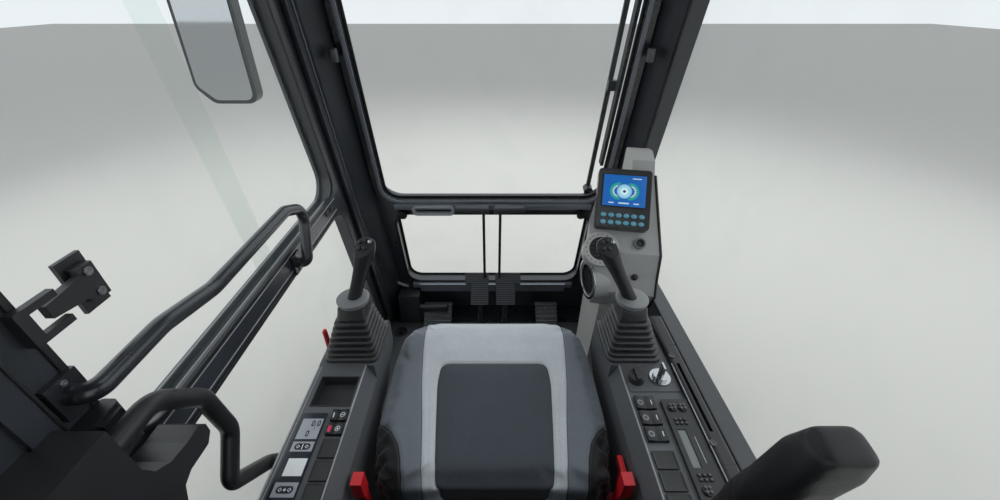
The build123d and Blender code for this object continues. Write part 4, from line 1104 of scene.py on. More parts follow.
# %% Housing rim, keys and screen
def gauge_picture(name):
    made = Finish(name, Roughness=0.22, Specular_IOR_Level=0.5, Coat_Weight=0.5, Coat_Roughness=0.05)
    here = made.node("UVMap")
    u, v, _ = made.axes(here)
    x = (u - 0.5) * 1.30
    y = v - 0.5

    def ring(cx, cy, radius, half_width):
        far = ((x - cx) * (x - cx) + (y - cy) * (y - cy)) ** 0.5
        return (1.0 - (far - radius).size() / half_width).clamp() ** 0.35, far

    hub, far = ring(0.0, -0.02, 0.15, 0.085)
    left, _ = ring(-0.17, -0.02, 0.23, 0.05)
    right, _ = ring(0.17, -0.02, 0.23, 0.05)
    outside = (far - 0.26) > 0.0
    tick = (((y / (x.size() + 0.001)) * 5.0).repeat() - 0.2) > 0.0
    colour = made.mix((0.010, 0.105, 0.42), (0.020, 0.17, 0.55), made.noise(30.0, 3.0))
    for arc in (left * (x < -0.12), right * (x > 0.12)):
        colour = made.mix(colour, (0.03, 0.42, 0.30), arc * outside)
    inner_left, _ = ring(-0.17, -0.02, 0.165, 0.03)
    inner_right, _ = ring(0.17, -0.02, 0.165, 0.03)
    inner = inner_left * (x < -0.16) + inner_right * (x > 0.16)
    colour = made.mix(colour, (0.72, 0.86, 0.90), inner.clamp() * outside * tick)
    colour = made.mix(colour, (0.40, 0.78, 0.92), hub)
    colour = made.mix(colour, (0.72, 0.92, 0.98), ((0.115 - far) > 0.0) * ((far - 0.045) > 0.0))
    colour = made.mix(colour, (0.01, 0.04, 0.10), (0.035 - far) > 0.0)
    bar = ((x.size() - 0.30) > 0.0) * ((0.46 - x.size()) > 0.0) * (((y + 0.40).size() - 0.018) < 0.0)
    top = ((0.50 - x) > 0.0) * ((x - 0.22) > 0.0) * (((y - 0.40).size() - 0.014) < 0.0)
    foot = ((0.16 - x.size()) > 0.0) * (((y + 0.40).size() - 0.022) < 0.0)
    colour = made.mix(colour, (0.80, 0.90, 0.95), (bar + top + foot).clamp() * 0.8)
    made.set(Base_Color=made.mix(colour, (0.0, 0.0, 0.0), 0.6), Emission_Color=colour,
             Emission_Strength=0.65)
    return made.material


def display():
    rim = block("display_rim", (0, -166, 0), (141, 0, 2.5))
    bevel(rim, 9, 4, upright)
    pick_top(rim)
    draw_in(4)
    push(0, 0, -1.2)
    leave_edit()
    soften(rim, 0.5)
    stand(rim, on_housing(0, 0, -0.2))
    finish_piece(rim, "cab", display_frame, "screen")
    cover = block("display_step", (12, -107, 1.0), (129, -15, 3.2))
    bevel(cover, 3, 3, upright)
    pick_top(cover)
    draw_in(2.2)
    push(0, 0, -1.4)
    leave_edit()
    stand(cover, on_housing(0, 0, 0))
    finish_piece(cover, "cab", screen_black, "screen", 30.0)
    clear_selection()
    bpy.ops.mesh.primitive_plane_add(size=1.0)
    picture = bpy.context.object
    picture.scale = (0.1125, 0.0875, 1)
    named("display_picture")
    pick(picture, "FACE", whole)
    bpy.ops.mesh.subdivide(number_cuts=3)
    leave_edit()
    modify(picture, "SOLIDIFY", thickness=0.4 * MM, offset=-1.0)
    stand(picture, on_housing(70.5, 61, 2.4))
    finish_piece(picture, "cab", gauge_picture("gauge_picture"), "screen", 30.0)
    key = drum("soft_key", (0, 0, 1.2), 7.6, 2.8, 28)
    bevel(key, 1.1, 3, lambda p, way: abs(way.z) < 0.5 and p.z > 1)
    stretch(key, whole, (1, 0.80, 1), (0, 0, 0))
    keys = [copy_of(key, "soft_key", on_housing(20.5 + 19.9 * i, y, 1.0)) for y in (130.5, 150.5)
            for i in range(6)]
    bpy.data.objects.remove(key)
    finish_piece(joined(keys, "display_keys"), "cab", key_blue, "screen", 40.0)


display_frame = moulded("display_frame", (0.012, 0.013, 0.015), (0.030, 0.032, 0.036), 1300.0, 0.34,
                        0.0001)
key_blue = moulded("key_blue", (0.10, 0.36, 0.50), (0.22, 0.55, 0.68), 1600.0, 0.30, 0.0001)
display()
print("display ready")

# %% [markdown]
# The vents and the socket are turned parts, so each ring is a cylinder whose end is inset and pushed
# in by turns. The side vent has a bright rim, and the upper one is moulded with the column and has a
# row of small marks round its edge.

# %% Vent rims and socket
DRUM_MIDDLE = Vector((0.281, 0.345, 0.637))
DRUM_TURN = math.radians(8.0)
UPPER_VENT = (-156.0, 3.0)
SOCKET = (-55, 28)
VENT_MARKS = 20


def stepped_ring(name, radius, steps, sides=48):
    """A disc whose top is inset and raised by turns: (inset, rise) in millimetres."""
    ring = drum(name, (0, 0, 0.5), radius, 1.0, sides)
    pick_top(ring)
    for inset, rise in steps:
        if inset:
            draw_in(inset)
        push(0, 0, rise)
    leave_edit()
    return ring


def open_ring(name, outer, inner, height, soft=0.8, sides=56):
    """A flat ring with a hole through it."""
    ring = drum(name, (0, 0, height / 2), outer, height, sides)
    pick(ring, "FACE", lambda p, n: abs(n.z) > 0.9)
    draw_in(outer - inner)
    bpy.ops.mesh.bridge_edge_loops()
    leave_edit()
    soften(ring, soft, 3, 40)
    return ring


def side_vent_matrix(out):
    normal = Vector((-math.cos(DRUM_TURN), -math.sin(DRUM_TURN), 0.0))
    across = Vector((math.sin(DRUM_TURN), -math.cos(DRUM_TURN), 0.0))
    spot = DRUM_MIDDLE + normal * out * MM
    return axes_at(spot, across, normal.cross(across), normal)


def column_trim():
    chromed, grey, rubber = ((chrome, "chrome"), (column_grey, "column_grey"),
                             (collar_grey_and_highlight, "boot_rubber"))
    # name, outer and inner radius, height, edge, sides, place, finish
    for name, outer, inner, height, edge, sides, place, look in (
            ("side_vent_rim", 60.5, 51, 4.0, 1.6, 56, side_vent_matrix(-0.5), chromed),
            ("side_vent_cup", 51, 45, 2.2, 0.6, 56, side_vent_matrix(0.1), rubber),
            ("upper_vent_bezel", 47.3, 32, 2.4, 0.9, 56, on_column(*UPPER_VENT, 11.8), grey),
            ("upper_vent_skirt", 47.8, 46.6, 12.2, 0.4, 56, on_column(*UPPER_VENT, 0.0), grey),
            ("socket_rim", 15.4, 11.5, 3.0, 0.9, 36, on_column(*SOCKET, 7.4), rubber)):
        ring = open_ring(name, outer, inner, height, edge, sides)
        stand(ring, place)
        finish_piece(ring, "cab", *look)
    dot = drum("mark", (0, 0, 0.2), 1.6, 0.8, 12)
    marks = []
    for i in range(VENT_MARKS):
        turn = 2 * math.pi * i / VENT_MARKS
        place = Matrix.Translation(Vector((39.5 * math.cos(turn), 39.5 * math.sin(turn), 0.2)) * MM)
        marks.append(copy_of(dot, "mark", on_column(*UPPER_VENT, 14.0) @ place))
    bpy.data.objects.remove(dot)
    finish_piece(joined(marks, "upper_vent_marks"), "cab", switch_black, "switch_black")
    thumb = block("vent_thumb", (-5, -10, 0), (5, 10, 6))
    bevel(thumb, 2.2, 3)
    stand(thumb, on_column(UPPER_VENT[0] - 8, UPPER_VENT[1] + 4, 8.0))
    finish_piece(thumb, "cab", collar_grey_and_highlight, "boot_rubber")
    dome_place = Matrix.Translation((0.393, 0.2915, 0.684)) @ Matrix.Rotation(math.radians(78), 4, "X")
    for name, radius, steps, edge, angle, place in (
            ("socket_cap", 9.5, ((1.5, 1.5), (2.0, -1.2)), 0.5, 30, on_column(*SOCKET, 1.5)),
            ("temperature_dome", 10.0, ((1.5, 2.0), (2.0, 2.2), (2.5, 1.2)), 0.8, 20, dome_place)):
        cap = stepped_ring(name, radius, steps, 28)
        soften(cap, edge, 2, angle)
        stand(cap, place)
        finish_piece(cap, "cab", switch_black, "switch_black")


column_trim()
print("column trim ready")

# %% [markdown]
# ## Travel pedals and levers
#
# Each track has one pedal that can be worked by foot or by a hand lever. The pedal's rubber tread is a
# T: wide where the toes press and narrow below, with cross ribs. The ribs are real rows of rubber, so
# they are modelled as one rib and copied. The hand pad is a moulded block with soft edges on a flat
# rod. Together they take the place of the construction model's plainer lever.

# %% Pedals, rods and hand pads
PEDAL_LEAN = math.radians(41.8)
PEDAL_MIDDLE = Vector((0.0, 0.642, 0.357))
RIB_PITCH = 8.6
PEDAL_RIBS = 15


def pedal_matrix():
    across = Vector((1.0, 0.0, 0.0))
    out = Vector((0.0, -math.cos(PEDAL_LEAN), math.sin(PEDAL_LEAN)))
    return axes_at(PEDAL_MIDDLE, across, out.cross(across), out)


def travel_lever(word, wide, narrow, rod_x, pad):
    """wide and narrow: left and right edges of the tread's two parts; pad: edges of the hand pad."""
    place = pedal_matrix()
    plate = block("tread", (wide[0], 14, -9), (wide[1], 64, 0))
    lower = block("tread", (narrow[0], -64, -9), (narrow[1], 15, 0))
    for part in (plate, lower):
        bevel(part, 8, 3, upright)
        soften(part, 1.5, 2, 40)
    ribs = []
    for i in range(PEDAL_RIBS):
        y = 59 - i * RIB_PITCH
        left, right = wide if y > 16 else narrow
        rib = block("rib", (left + 2, y - 2.2, -0.5), (right - 2, y + 2.2, 3.2))
        bevel(rib, 1.3, 2, lambda p, way: p.z > 3 and abs(way.x) > 0.9)
        ribs.append(rib)
    tread, ribbing = joined([plate, lower], word + "_pedal_tread"), joined(ribs, word + "_pedal_ribs")
    for piece, rubber in ((tread, pad_rubber), (ribbing, rib_highlight_rubber)):
        stand(piece, place)
        finish_piece(piece, "cab", rubber, "mat_rubber")
    middle = (narrow[0] + narrow[1]) / 2
    stem = drum("stem", (middle, 662, 218), 12, 224, 24, (math.radians(9.5), 0, 0))
    hub = drum("hub", (middle, 688, 118), 22, 18, 28)
    bevel(hub, 3, 2, lying)
    carrier = block("carrier", (middle - 22, -20, -16), (middle + 22, 45, -8.5))
    bevel(carrier, 4, 2)
    stand(carrier, place)
    rod = block("rod", (rod_x - 5, -7, 0), (rod_x + 5, 7, 318))
    bevel(rod, 2.5, 3, upright)
    lean = math.atan2(32, 313)
    stand(rod, Matrix.Translation(Vector((0, 0.672, 0.392))) @ Matrix.Rotation(lean, 4, "X"))
    metal = joined([rod, stem, hub, carrier], word + "_lever_rod")
    finish_piece(metal, "cab", black_paint, "black_paint")
    head = block(word + "_hand_pad", (pad[0], 622, 699), (pad[1], 658, 723))
    inner = min(pad, key=abs)
    shift(head, lambda p, n: abs(p.x - inner) > 60 and p.z < 705, (0, 0, 5))
    stretch(head, lambda p, n: abs(p.x - inner) > 60, (1, 0.72, 0.9), ((pad[0] + pad[1]) / 2, 640, 711))
    bevel(head, 7, 4)
    finish_piece(head, "cab", pad_rubber, "black_paint", 40.0)
    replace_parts(tread, word + "_travel_lever")


# the ribs are the same black rubber as the treads; their paler grey is a painted highlight on the rib
# tops
rib_highlight_rubber = moulded("rib_highlight_rubber", (0.085, 0.090, 0.098), (0.140, 0.147, 0.158), 900.0, 0.36, 0.0002)
pad_rubber = moulded("pad_rubber", (0.018, 0.021, 0.028), (0.034, 0.039, 0.050), 800.0, 0.50, 0.0002)
travel_lever("left", (-109, -15), (-86, -16), -31, (-131, -12))
travel_lever("right", (11, 112), (14, 90), 27, (5, 113))
print("travel levers ready")

# %% [markdown]
# ## Footrests, heater panel and the window's own fittings
#
# Small moulded parts finish the footwell: ribbed footrests, the heater's front panel, and on the
# opening window a grey pull handle with a black locking knob at each end of the rail.

# %% Footwell and window fittings
WALL_UP = Vector((0.0, -math.sin(LEAN), LEAN_COS))
WALL_OUT = Vector((0.0, LEAN_COS, math.sin(LEAN)))
# along the front wall, in millimetres: the rail's middle lies below the upper pane's lower edge
UPPER_PANE_LOW = 730
RAIL_MIDDLE = (UPPER_PANE_LOW / LEAN_COS - 41) * LEAN_COS
KNOB_DROP = 33 * LEAN_COS


def on_front_wall(x, height, depth):
    """Stands a piece on the front wall: X to the left, Y up the wall, Z outwards; height in Z."""
    foot = Vector((x * MM, FRONT_FOOT, 0.0))
    spot = foot + WALL_UP * (height * MM / LEAN_COS) + WALL_OUT * (depth * MM)
    return axes_at(spot, Vector((-1, 0, 0)), WALL_UP, WALL_OUT)


def foot_rest(word, low_x, high_x):
    """Ribs on the footrest's slope, and a cap on its upper edge."""
    ribs = []
    for i in range(7):
        z = 112.0 + i * 11.0
        y = 652.0 + (z - 108.0) * 1.36
        rib = block("rib", (low_x + 2, y - 1.5, z + 1), (high_x - 2, y + 4.0, z + 5))
        bevel(rib, 1.2, 2)
        ribs.append(rib)
    cap = block("cap", (low_x - 2, 741, 177), (high_x + 2, 763, 182))
    bevel(cap, 2, 3)
    tread = joined(ribs + [cap], word + "_footrest_tread")
    # the footrest ribs' paler rubber is a painted highlight
    finish_piece(tread, "cab", rib_highlight_rubber, "mat_rubber")


def pull_handle(x, height):
    handle = block("window_pull", (-76, -22, -34), (76, 22, -18))
    bevel(handle, 17, 6, upright)
    pick(handle, "FACE", lambda p, n: abs(n.z) > 0.9)
    draw_in(11)
    bpy.ops.mesh.bridge_edge_loops()
    leave_edit()
    soften(handle, 3.5, 3, 50)
    stand(handle, on_front_wall(x, height, 2))
    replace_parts(finish_piece(handle, "cab", handle_grey, "console_grey"), "window_fittings")


def window_knob(name, x, height):
    knob = stepped_ring(name, 17, ((0, 6), (2.5, 2.5), (3.5, -2.0), (3.5, 3.5), (2.0, 1.5)), 32)
    soften(knob, 0.9)
    flip = Matrix.Rotation(math.pi, 4, "Y")
    stand(knob, on_front_wall(x, height, -10) @ flip)
    finish_piece(knob, "cab", switch_black, "black_plastic")


handle_grey = moulded("handle_grey", (0.40, 0.43, 0.47), (0.52, 0.55, 0.60), 1100.0, 0.40, 0.0001)
foot_rest("left", -300, -180)
foot_rest("right", 190, 284)
pull_handle(-213, RAIL_MIDDLE)
window_knob("window_knob_left", -331, RAIL_MIDDLE - KNOB_DROP)
window_knob("window_knob_right", 327, RAIL_MIDDLE - KNOB_DROP)
panel = block("heater_panel", (-322, 716, 112), (-196, 738, 196))
bevel(panel, 6, 3)
pick(panel, "FACE", lambda p, n: n.y < -0.9)
draw_in(7)
push(0, 3, 0)
leave_edit()
finish_piece(panel, "cab", black_plastic, "black_plastic")
# The sill bar, the sill's face, the rail's round and the upper pane's lip are black paint; this paler
# blue-grey copy is a painted reflection of the sky on them.
sill_highlight_paint = powder_coat("sill_highlight_paint", (0.15, 0.17, 0.20), (0.25, 0.275, 0.32), 0.30, 0.5)
nodes["sill_bar"].data.materials[0] = sill_highlight_paint
for name, low, high, radius, height in (
        ("sill_face", (-350, -17, -14), (350, 17, -1), 9, 254),
        ("rail_round", (-352, 2, -25), (352, 29, -14), 8, RAIL_MIDDLE - 4)):
    face = block(name, low, high)
    bevel(face, radius, 4, lambda p, way: abs(way.x) > 0.9 and p.z < low[2] + 4)
    stand(face, on_front_wall(0, height, 0))
    finish_piece(face, "cab", sill_highlight_paint, "black_paint", 40.0)
print("footwell and window fittings ready")

# %% [markdown]
# ## Window seals
#
# Every pane meets its frame in a black rubber seal, and its rounded lip catches a thin line of light.
# One helper makes them all: a flat face with the window's corners, its corners bevelled to the
# window's radius, an inset for the seal's width, and the middle taken out. Solidify gives the ring its
# thickness, and a bevel rounds the lip.

# %% A ring round an outline
def ring_on(name, corners, radius, width, thick, matrix, body="cab", look=None, lip=1.2):
    """corners: the outer outline in the plane's own X and Y; the ring grows inwards and towards +Z."""
    clear_selection()
    bpy.ops.mesh.primitive_plane_add(size=1.0)
    ring = named(name)
    for vertex, corner in zip((0, 1, 3, 2), corners):
        ring.data.vertices[vertex].co = Vector((corner[0] * MM, corner[1] * MM, 0.0))
    pick(ring, "VERT", whole)
    bpy.ops.mesh.bevel(offset=radius * MM, segments=8, affect="VERTICES", clamp_overlap=True)
    bpy.ops.mesh.select_all(action="SELECT")
    bpy.ops.mesh.normals_make_consistent(inside=False)
    bpy.ops.mesh.select_mode(type="FACE")
    bpy.ops.mesh.select_all(action="SELECT")
    draw_in(width)
    bpy.ops.mesh.delete(type="FACE")
    leave_edit()
    if ring.data.polygons[0].normal.z < 0:
        pick(ring, "FACE", whole)
        bpy.ops.mesh.flip_normals()
        leave_edit()
    modify(ring, "SOLIDIFY", thickness=thick * MM, offset=1.0)
    soften(ring, min(lip, thick * 0.4), 3, 40)
    stand(ring, matrix)
    finish_piece(ring, body, *(look or (seal_rubber, "black_plastic")))


def side_wall(x, inwards):
    """X of the ring runs along Y, its Y runs up, and its Z points into the cab."""
    return axes_at((x * MM, 0, 0), (0, 1, 0), (0, 0, 1), (inwards, 0, 0))


def leaning(rear, low, high, inset, grow=0.0):
    """The corners of a side window whose front edge leans with the front wall."""
    low, high, rear, inset = low - grow, high + grow, rear - grow, inset - grow
    front = [front_y(z * MM, inset * MM) / MM for z in (low, high)]
    return [(rear, low), (front[0], low), (front[1], high), (rear, high)]


def square(low_x, high_x, low_y, high_y, grow=0.0):
    """The corners of a rectangle, moved out by grow."""
    return [(low_x - grow, low_y - grow), (high_x + grow, low_y - grow), (high_x + grow, high_y + grow),
            (low_x - grow, high_y + grow)]


seal_rubber = moulded("seal_rubber", (0.010, 0.010, 0.011), (0.026, 0.027, 0.029), 1200.0, 0.36, 0.0001)
flip = Matrix.Rotation(math.pi, 4, "Y")
wall_in, frame_in, glass_in, lower_glass_in = (on_front_wall(0, 0, depth) @ flip
                                               for depth in (0, -16, -0.1, 36.9))
rear_in = axes_at((0, -0.755, 0), (-1, 0, 0), (0, 0, 1), (0, 1, 0))
roof_in = axes_at((0, 0, 1.645), (-1, 0, 0), (0, 1, 0), (0, 0, -1))
door_in = side_wall(-DOOR_INNER, 1)
upper = (-379, 379, UPPER_PANE_LOW / LEAN_COS, 1560 / LEAN_COS)
lower = (-363, 363, 280 / LEAN_COS, 650 / LEAN_COS)
doorway = (-345, 130, 1590, 125)
# name, outline, corner radius, width, thickness, place, and where they differ: body, look and lip
SEALS = (
    ("front_upper_seal", square(*upper), 55, 8, 4.0, glass_in),
    # the lip takes the sill's paler paint, a painted reflection
    ("front_upper_lip", square(*upper, 15), 70, 13, 6.0, frame_in, "cab",
     (sill_highlight_paint, "black_paint"), 2.4),
    ("front_upper_rim", square(*upper, 37), 92, 6, 3.0, wall_in),
    ("front_lower_seal", square(*lower), 55, 8, 4.0, lower_glass_in),
    ("front_lower_lip", square(*lower, 10), 65, 10, 3.0, wall_in),
    ("right_window_seal", leaning(-700, 620, 1575, 87, 9), 64, 9, 3.0, side_wall(INNER, -1)),
    ("quarter_window_seal", square(-700, -440, 760, 1575, 9), 64, 9, 3.0, side_wall(-INNER, 1)),
    ("door_upper_seal", leaning(-287, 855, 1530, 192, 8), 63, 8, 3.0, door_in, "door"),
    ("door_lower_seal", leaning(-287, 200, 790, 192, 8), 63, 8, 3.0, door_in, "door"),
    ("doorway_seal", leaning(*doorway, -4), 56, 9, 4.6, side_wall(-455.2, -1)),
    ("doorway_lip", leaning(*doorway, -12), 48, 3.5, 2.0, side_wall(-449, 1), "cab", None, 0.8),
    ("rear_window_seal", square(-330, 330, 780, 1500, 9), 64, 9, 3.0, rear_in),
    ("roof_window_seal", square(-270, 270, -330, 170, 9), 64, 9, 3.0, roof_in),
)
for row in SEALS:
    ring_on(*row)
print("seals:", len(SEALS))

# %% [markdown]
# ## Signs and switch marks
#
# The signs on the plate and the marks on the switches are printed, so they belong in the material and
# not in the mesh. Each mark is a simple shape: a box, a ring or a stadium, tested against the Object
# coordinates, which are the cab's own metres because every piece has its origin at zero. Several
# shapes are laid over each other as colours. They are blank, generic marks, with no words.

# %% Printed shapes
class Print:
    """Colours laid over a base colour, each inside a shape given in millimetres."""

    def __init__(self, made, colour):
        self.made = made
        self.x, self.y, self.z = made.axes()
        self.colour = colour

    def ink(self, colour, inside):
        self.colour = self.made.mix(self.colour, colour, inside)

    def box(self, colour, x, y, half_x, half_y):
        self.ink(colour, ((self.x - x * MM).size() < half_x * MM)
                 * ((self.y - y * MM).size() < half_y * MM))

    def stadium(self, colour, x, y, straight, radius, tall=False):
        """A bar with round ends: half the length of its straight part, and the radius."""
        along, across = self.x - x * MM, self.y - y * MM
        if tall:
            along, across = across, along
        beyond = (along.size() - straight * MM).clamp()
        self.ink(colour, (beyond * beyond + across * across) < (radius * MM) ** 2)

    def diamond(self, colour, x, y, reach):
        self.ink(colour, ((self.x - x * MM).size() + (self.y - y * MM).size()) < reach * MM)


def sign_plate():
    made = Finish("sign_plate", Roughness=0.34)
    dark, light, white = (0.010, 0.014, 0.024), (0.34, 0.36, 0.40), (0.78, 0.80, 0.82)
    print_on = Print(made, dark)
    print_on.box(light, -352, -132, 20, 21)
    for x, y in ((-349, -121), (-338, -121), (-353, -142)):
        print_on.stadium(dark, x, y, 3.2, 3.0, True)
        print_on.stadium(light, x, y, 2.6, 1.1, True)
    print_on.box(dark, -343.5, -127, 0.4, 9)
    for y, half in ((-167.5, 9.5), (-243, 12), (-281, 17)):
        print_on.box(light, -352, y, 20, half)
        print_on.stadium(dark, -352, y, 8.5, 6.2)
        for x in (-360, -344):
            print_on.diamond(white, x, y, 3.6)
            print_on.diamond(dark, x, y, 2.2)
    print_on.box(white, -352, -167.5, 0.8, 5)
    print_on.stadium(white, -352, -243, 0, 2.2)
    print_on.stadium(white, -352, -281, 0, 2.2)
    print_on.box(white, -350, -205, 17, 15.5)
    dust = made.noise(90.0, 5.0)
    made.set(Base_Color=made.mix(print_on.colour, (0.20, 0.20, 0.20), (dust - 0.45).clamp() * 0.25),
             Normal=made.bump(dust, 0.05, 0.0001))
    return made.material


def marked_switch():
    made = Finish("marked_switch", Roughness=0.24, Coat_Weight=0.3)
    black, white, grey = (0.012, 0.013, 0.015), (0.72, 0.74, 0.76), (0.22, 0.23, 0.25)
    print_on = Print(made, black)
    print_on.box(white, -314, -105, 1.0, 5)
    print_on.stadium(white, -297, -104, 0, 5.0)
    print_on.stadium(black, -297, -104, 0, 4.0)
    print_on.box(white, -297, -104, 2.4, 0.7)
    print_on.box((0.70, 0.03, 0.10), -313, -134, 3.0, 6.0)
    print_on.stadium(white, -298, -133, 0, 5.2)
    print_on.stadium(black, -298, -133, 0, 4.2)
    print_on.diamond(white, -298, -133, 2.4)
    for i in range(3):
        y = -76 - 34 * i
        print_on.stadium(grey, 302, y, 0, 6.0)
        print_on.stadium((0.05, 0.05, 0.055), 302, y, 0, 3.8)
        print_on.box(white, 324, y, 0.8, 5.0)
    dust = made.noise(120.0, 4.0)
    made.set(Base_Color=print_on.colour, Normal=made.bump(dust, 0.05, 0.0001))
    return made.material


sign_print = sign_plate()
switch_print = marked_switch()
print("printed materials:", sign_print.name, switch_print.name)

# %% [markdown]
# ## Switches, blanks and the tray
#
# A rocker switch is a block whose top dips in the middle, so its edge catches the light at both ends.
# A blank cover has a raised border. Both are made once per place from the same few operations, and
# together they take the place of the construction model's plain keys.

# %% Switch rows
def rocker(x_low, x_high, y_low, y_high):
    key = block("rocker", (x_low, y_low, CONSOLE_TOP), (x_high, y_high, 649))
    middle = (x_low + x_high) / 2
    slice_at(key, (middle, 0, 0), (1, 0, 0))
    shift(key, lambda p, n: p.z > 648 and abs(p.x - middle) < 1, (0, 0, -2.6))
    shift(key, lambda p, n: p.z > 644 and p.y < y_low + 1, (0, 2.0, -1.5))
    bevel(key, 0.9, 2)
    return key


def blank_cover(x_low, x_high, y_low, y_high):
    cover = block("blank", (x_low, y_low, CONSOLE_TOP), (x_high, y_high, 644))
    pick_top(cover)
    draw_in(3.4)
    bpy.ops.transform.translate(value=(0, 0, -1.2 * MM))
    leave_edit()
    bevel(cover, 0.5, 2)
    return cover


def switch_bank(side, x_low, x_high, rockers, blanks):
    keys, covers = [], []
    for top, pitch, count, make, into in ((*rockers, rocker, keys), (*blanks, blank_cover, covers)):
        for i in range(count):
            into.append(make(x_low, x_high, top - (i + 1) * pitch + 4, top - i * pitch))
    finish_piece(joined(keys, side + "_rockers"), "cab", switch_print, "switch_black")
    blanks = finish_piece(joined(covers, side + "_blanks"), "cab", switch_black, "switch_black")
    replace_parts(blanks, side + "_switches")


switch_bank("left", -319, -287, (-92, 29, 2), (-152, 40, 5))
switch_bank("right", 292, 332, (-61, 34, 3), (-175, 37, 4))
for name, low, high, edge, look in (
        ("sign_plate", (-378, -300), (-330, -98, 644), 0.8, (sign_print, "switch_black")),
        ("key_panel", (292, -47), (398, 21, 642), 0.7, (console_grey, "console_grey"))):
    plate = block(name, (*low, CONSOLE_TOP), high)
    bevel(plate, edge, 2)
    finish_piece(plate, "cab", *look)
tray = block("tray_liner", (-374.6, -81.6, 614.4), (-290.4, -6.4, 641))
pick_top(tray)
draw_in(2.4)
push(0, 0, -25.0)
bpy.ops.transform.resize(value=(0.97, 0.97, 1.0))
leave_edit()
bevel(tray, 0.8, 2)
steps = [tray]
for i in range(5):
    steps.append(block("step", (-371, -79.0 + 2.6 * i, 617), (-294, -77.6 + 2.6 * i, 638.0 - 3.6 * i)))
finish_piece(joined(steps, "tray_liner"), "cab", black_plastic, "black_plastic")
print("switches and tray ready")

# %% [markdown]
# ## Radio front, edge beads and screws
#
# The radio's keys are small glossy caps in two groups, with clusters of round buttons and a grey
# display between. Thin beads follow the consoles' edges, and their light grey paints the one clear line
# of highlight that a moulded edge catches, which is what makes it read as an edge.

# %% Console details
lcd_grey = moulded("lcd_grey", (0.155, 0.170, 0.165), (0.205, 0.220, 0.212), 1800.0, 0.16, 0.00002)
key_grey = moulded("key_grey", (0.060, 0.063, 0.068), (0.110, 0.114, 0.120), 1500.0, 0.26, 0.0001)
# a light grey for thin lines on dark parts: a painted highlight along their edges
edge_highlight_grey = moulded("edge_highlight_grey", (0.30, 0.31, 0.33), (0.42, 0.43, 0.45), 1300.0, 0.30, 0.0001)
for name, low, high, material, slot_name in (
        ("radio_display", (354.4, -207.6, 643.8), (369.6, -135.4, 645.0), lcd_grey, "screen"),
        # the radio strip is a painted highlight line on the console's edge
        ("radio_strip", (380.0, -200, 646.8), (381.6, -150, 647.5), edge_highlight_grey, "console_grey"),
        ("rail_seam_front", (405, 74.3, 650), (430, 75.7, 652.25), switch_black, "console_grey"),
        ("rail_seam_rear", (405, -204.7, 650), (430, -203.3, 652.25), switch_black, "console_grey")):
    finish_piece(block(name, low, high), "cab", material, slot_name)
caps = []
for y in (-115.0, -221.0):
    for i in range(3):
        for j in range(2):
            caps.append(block("cap", (355.6 + 9 * i, y - 8 * j - 2.1, 648),
                              (360.4 + 9 * i, y - 8 * j + 2.1, 650.4)))
for x, y in ((362, -88), (382, -88), (362, -246)):
    for i in range(4):
        angle = math.radians(45 + 90 * i)
        caps.append(drum("cap", (x + 5.0 * math.cos(angle), y + 5.0 * math.sin(angle), 651.0), 3.0,
                         2.8, 20))
for cap in caps:
    bevel(cap, 0.6, 2, lambda p, way: p.z > 650)
finish_piece(joined(caps, "radio_keys"), "cab", key_grey, "switch_black")


def bar_along(name, x, y_low, y_high, z, radius, sides=12):
    """A round bar that runs from rear to front."""
    return drum(name, (x, (y_low + y_high) / 2, z), radius, y_high - y_low, sides, (math.pi / 2, 0, 0))


# light grey beads along the consoles' edges: painted highlight lines
for name, x, y_low, y_high, z, radius in (("left_inner_highlight_bead", -286.2, -428, 24, 639.2, 1.7),
                                         ("left_outer_highlight_bead", -390.4, -428, 20, 639.2, 1.9),
                                         ("left_plate_highlight_bead", -384.5, -428, 20, 639.6, 1.0),
                                         ("right_inner_highlight_bead", 286.2, -428, 24, 639.2, 1.7),
                                         ("rail_highlight_bead", 400.6, -260, 20, 651.0, 1.3)):
    line = bar_along(name, x, y_low, y_high, z, radius, 16)
    bevel(line, radius * 0.4, 2, lambda p, way: abs(way.y) < 0.5)
    finish_piece(line, "cab", edge_highlight_grey, "console_grey", 40.0)
for name, x, y in (("rail_screw_front", 408, 40), ("rail_screw_rear", 406, -166)):
    screw = stepped_ring(name, 6.5, ((0, 1.2), (0.8, 0.8), (2.0, -0.9)), 28)
    stand(screw, Matrix.Translation((x * MM, y * MM, 0.6516)))
    finish_piece(screw, "cab", key_grey, "console_grey")
release = block("red_release", (-399, 84, 628), (-391.5, 100, 682))
stretch(release, lambda p, n: p.z > 660, (1, 0.75, 1), (-395, 92, 670))
bevel(release, 2.4, 3)
finish_piece(release, "cab", red_plastic, "red_plastic")
print("console details done")

# %% [markdown]
# ## Door details
#
# The door's sliding panes run in a channel whose edges show as fine parallel lines along the midrail.
# The pale lines are painted highlights on those edges.
# The pane's latch and the grab rail's feet are screwed on, and two plugs close holes in the frame.
# These small things tell the eye how large the door is.

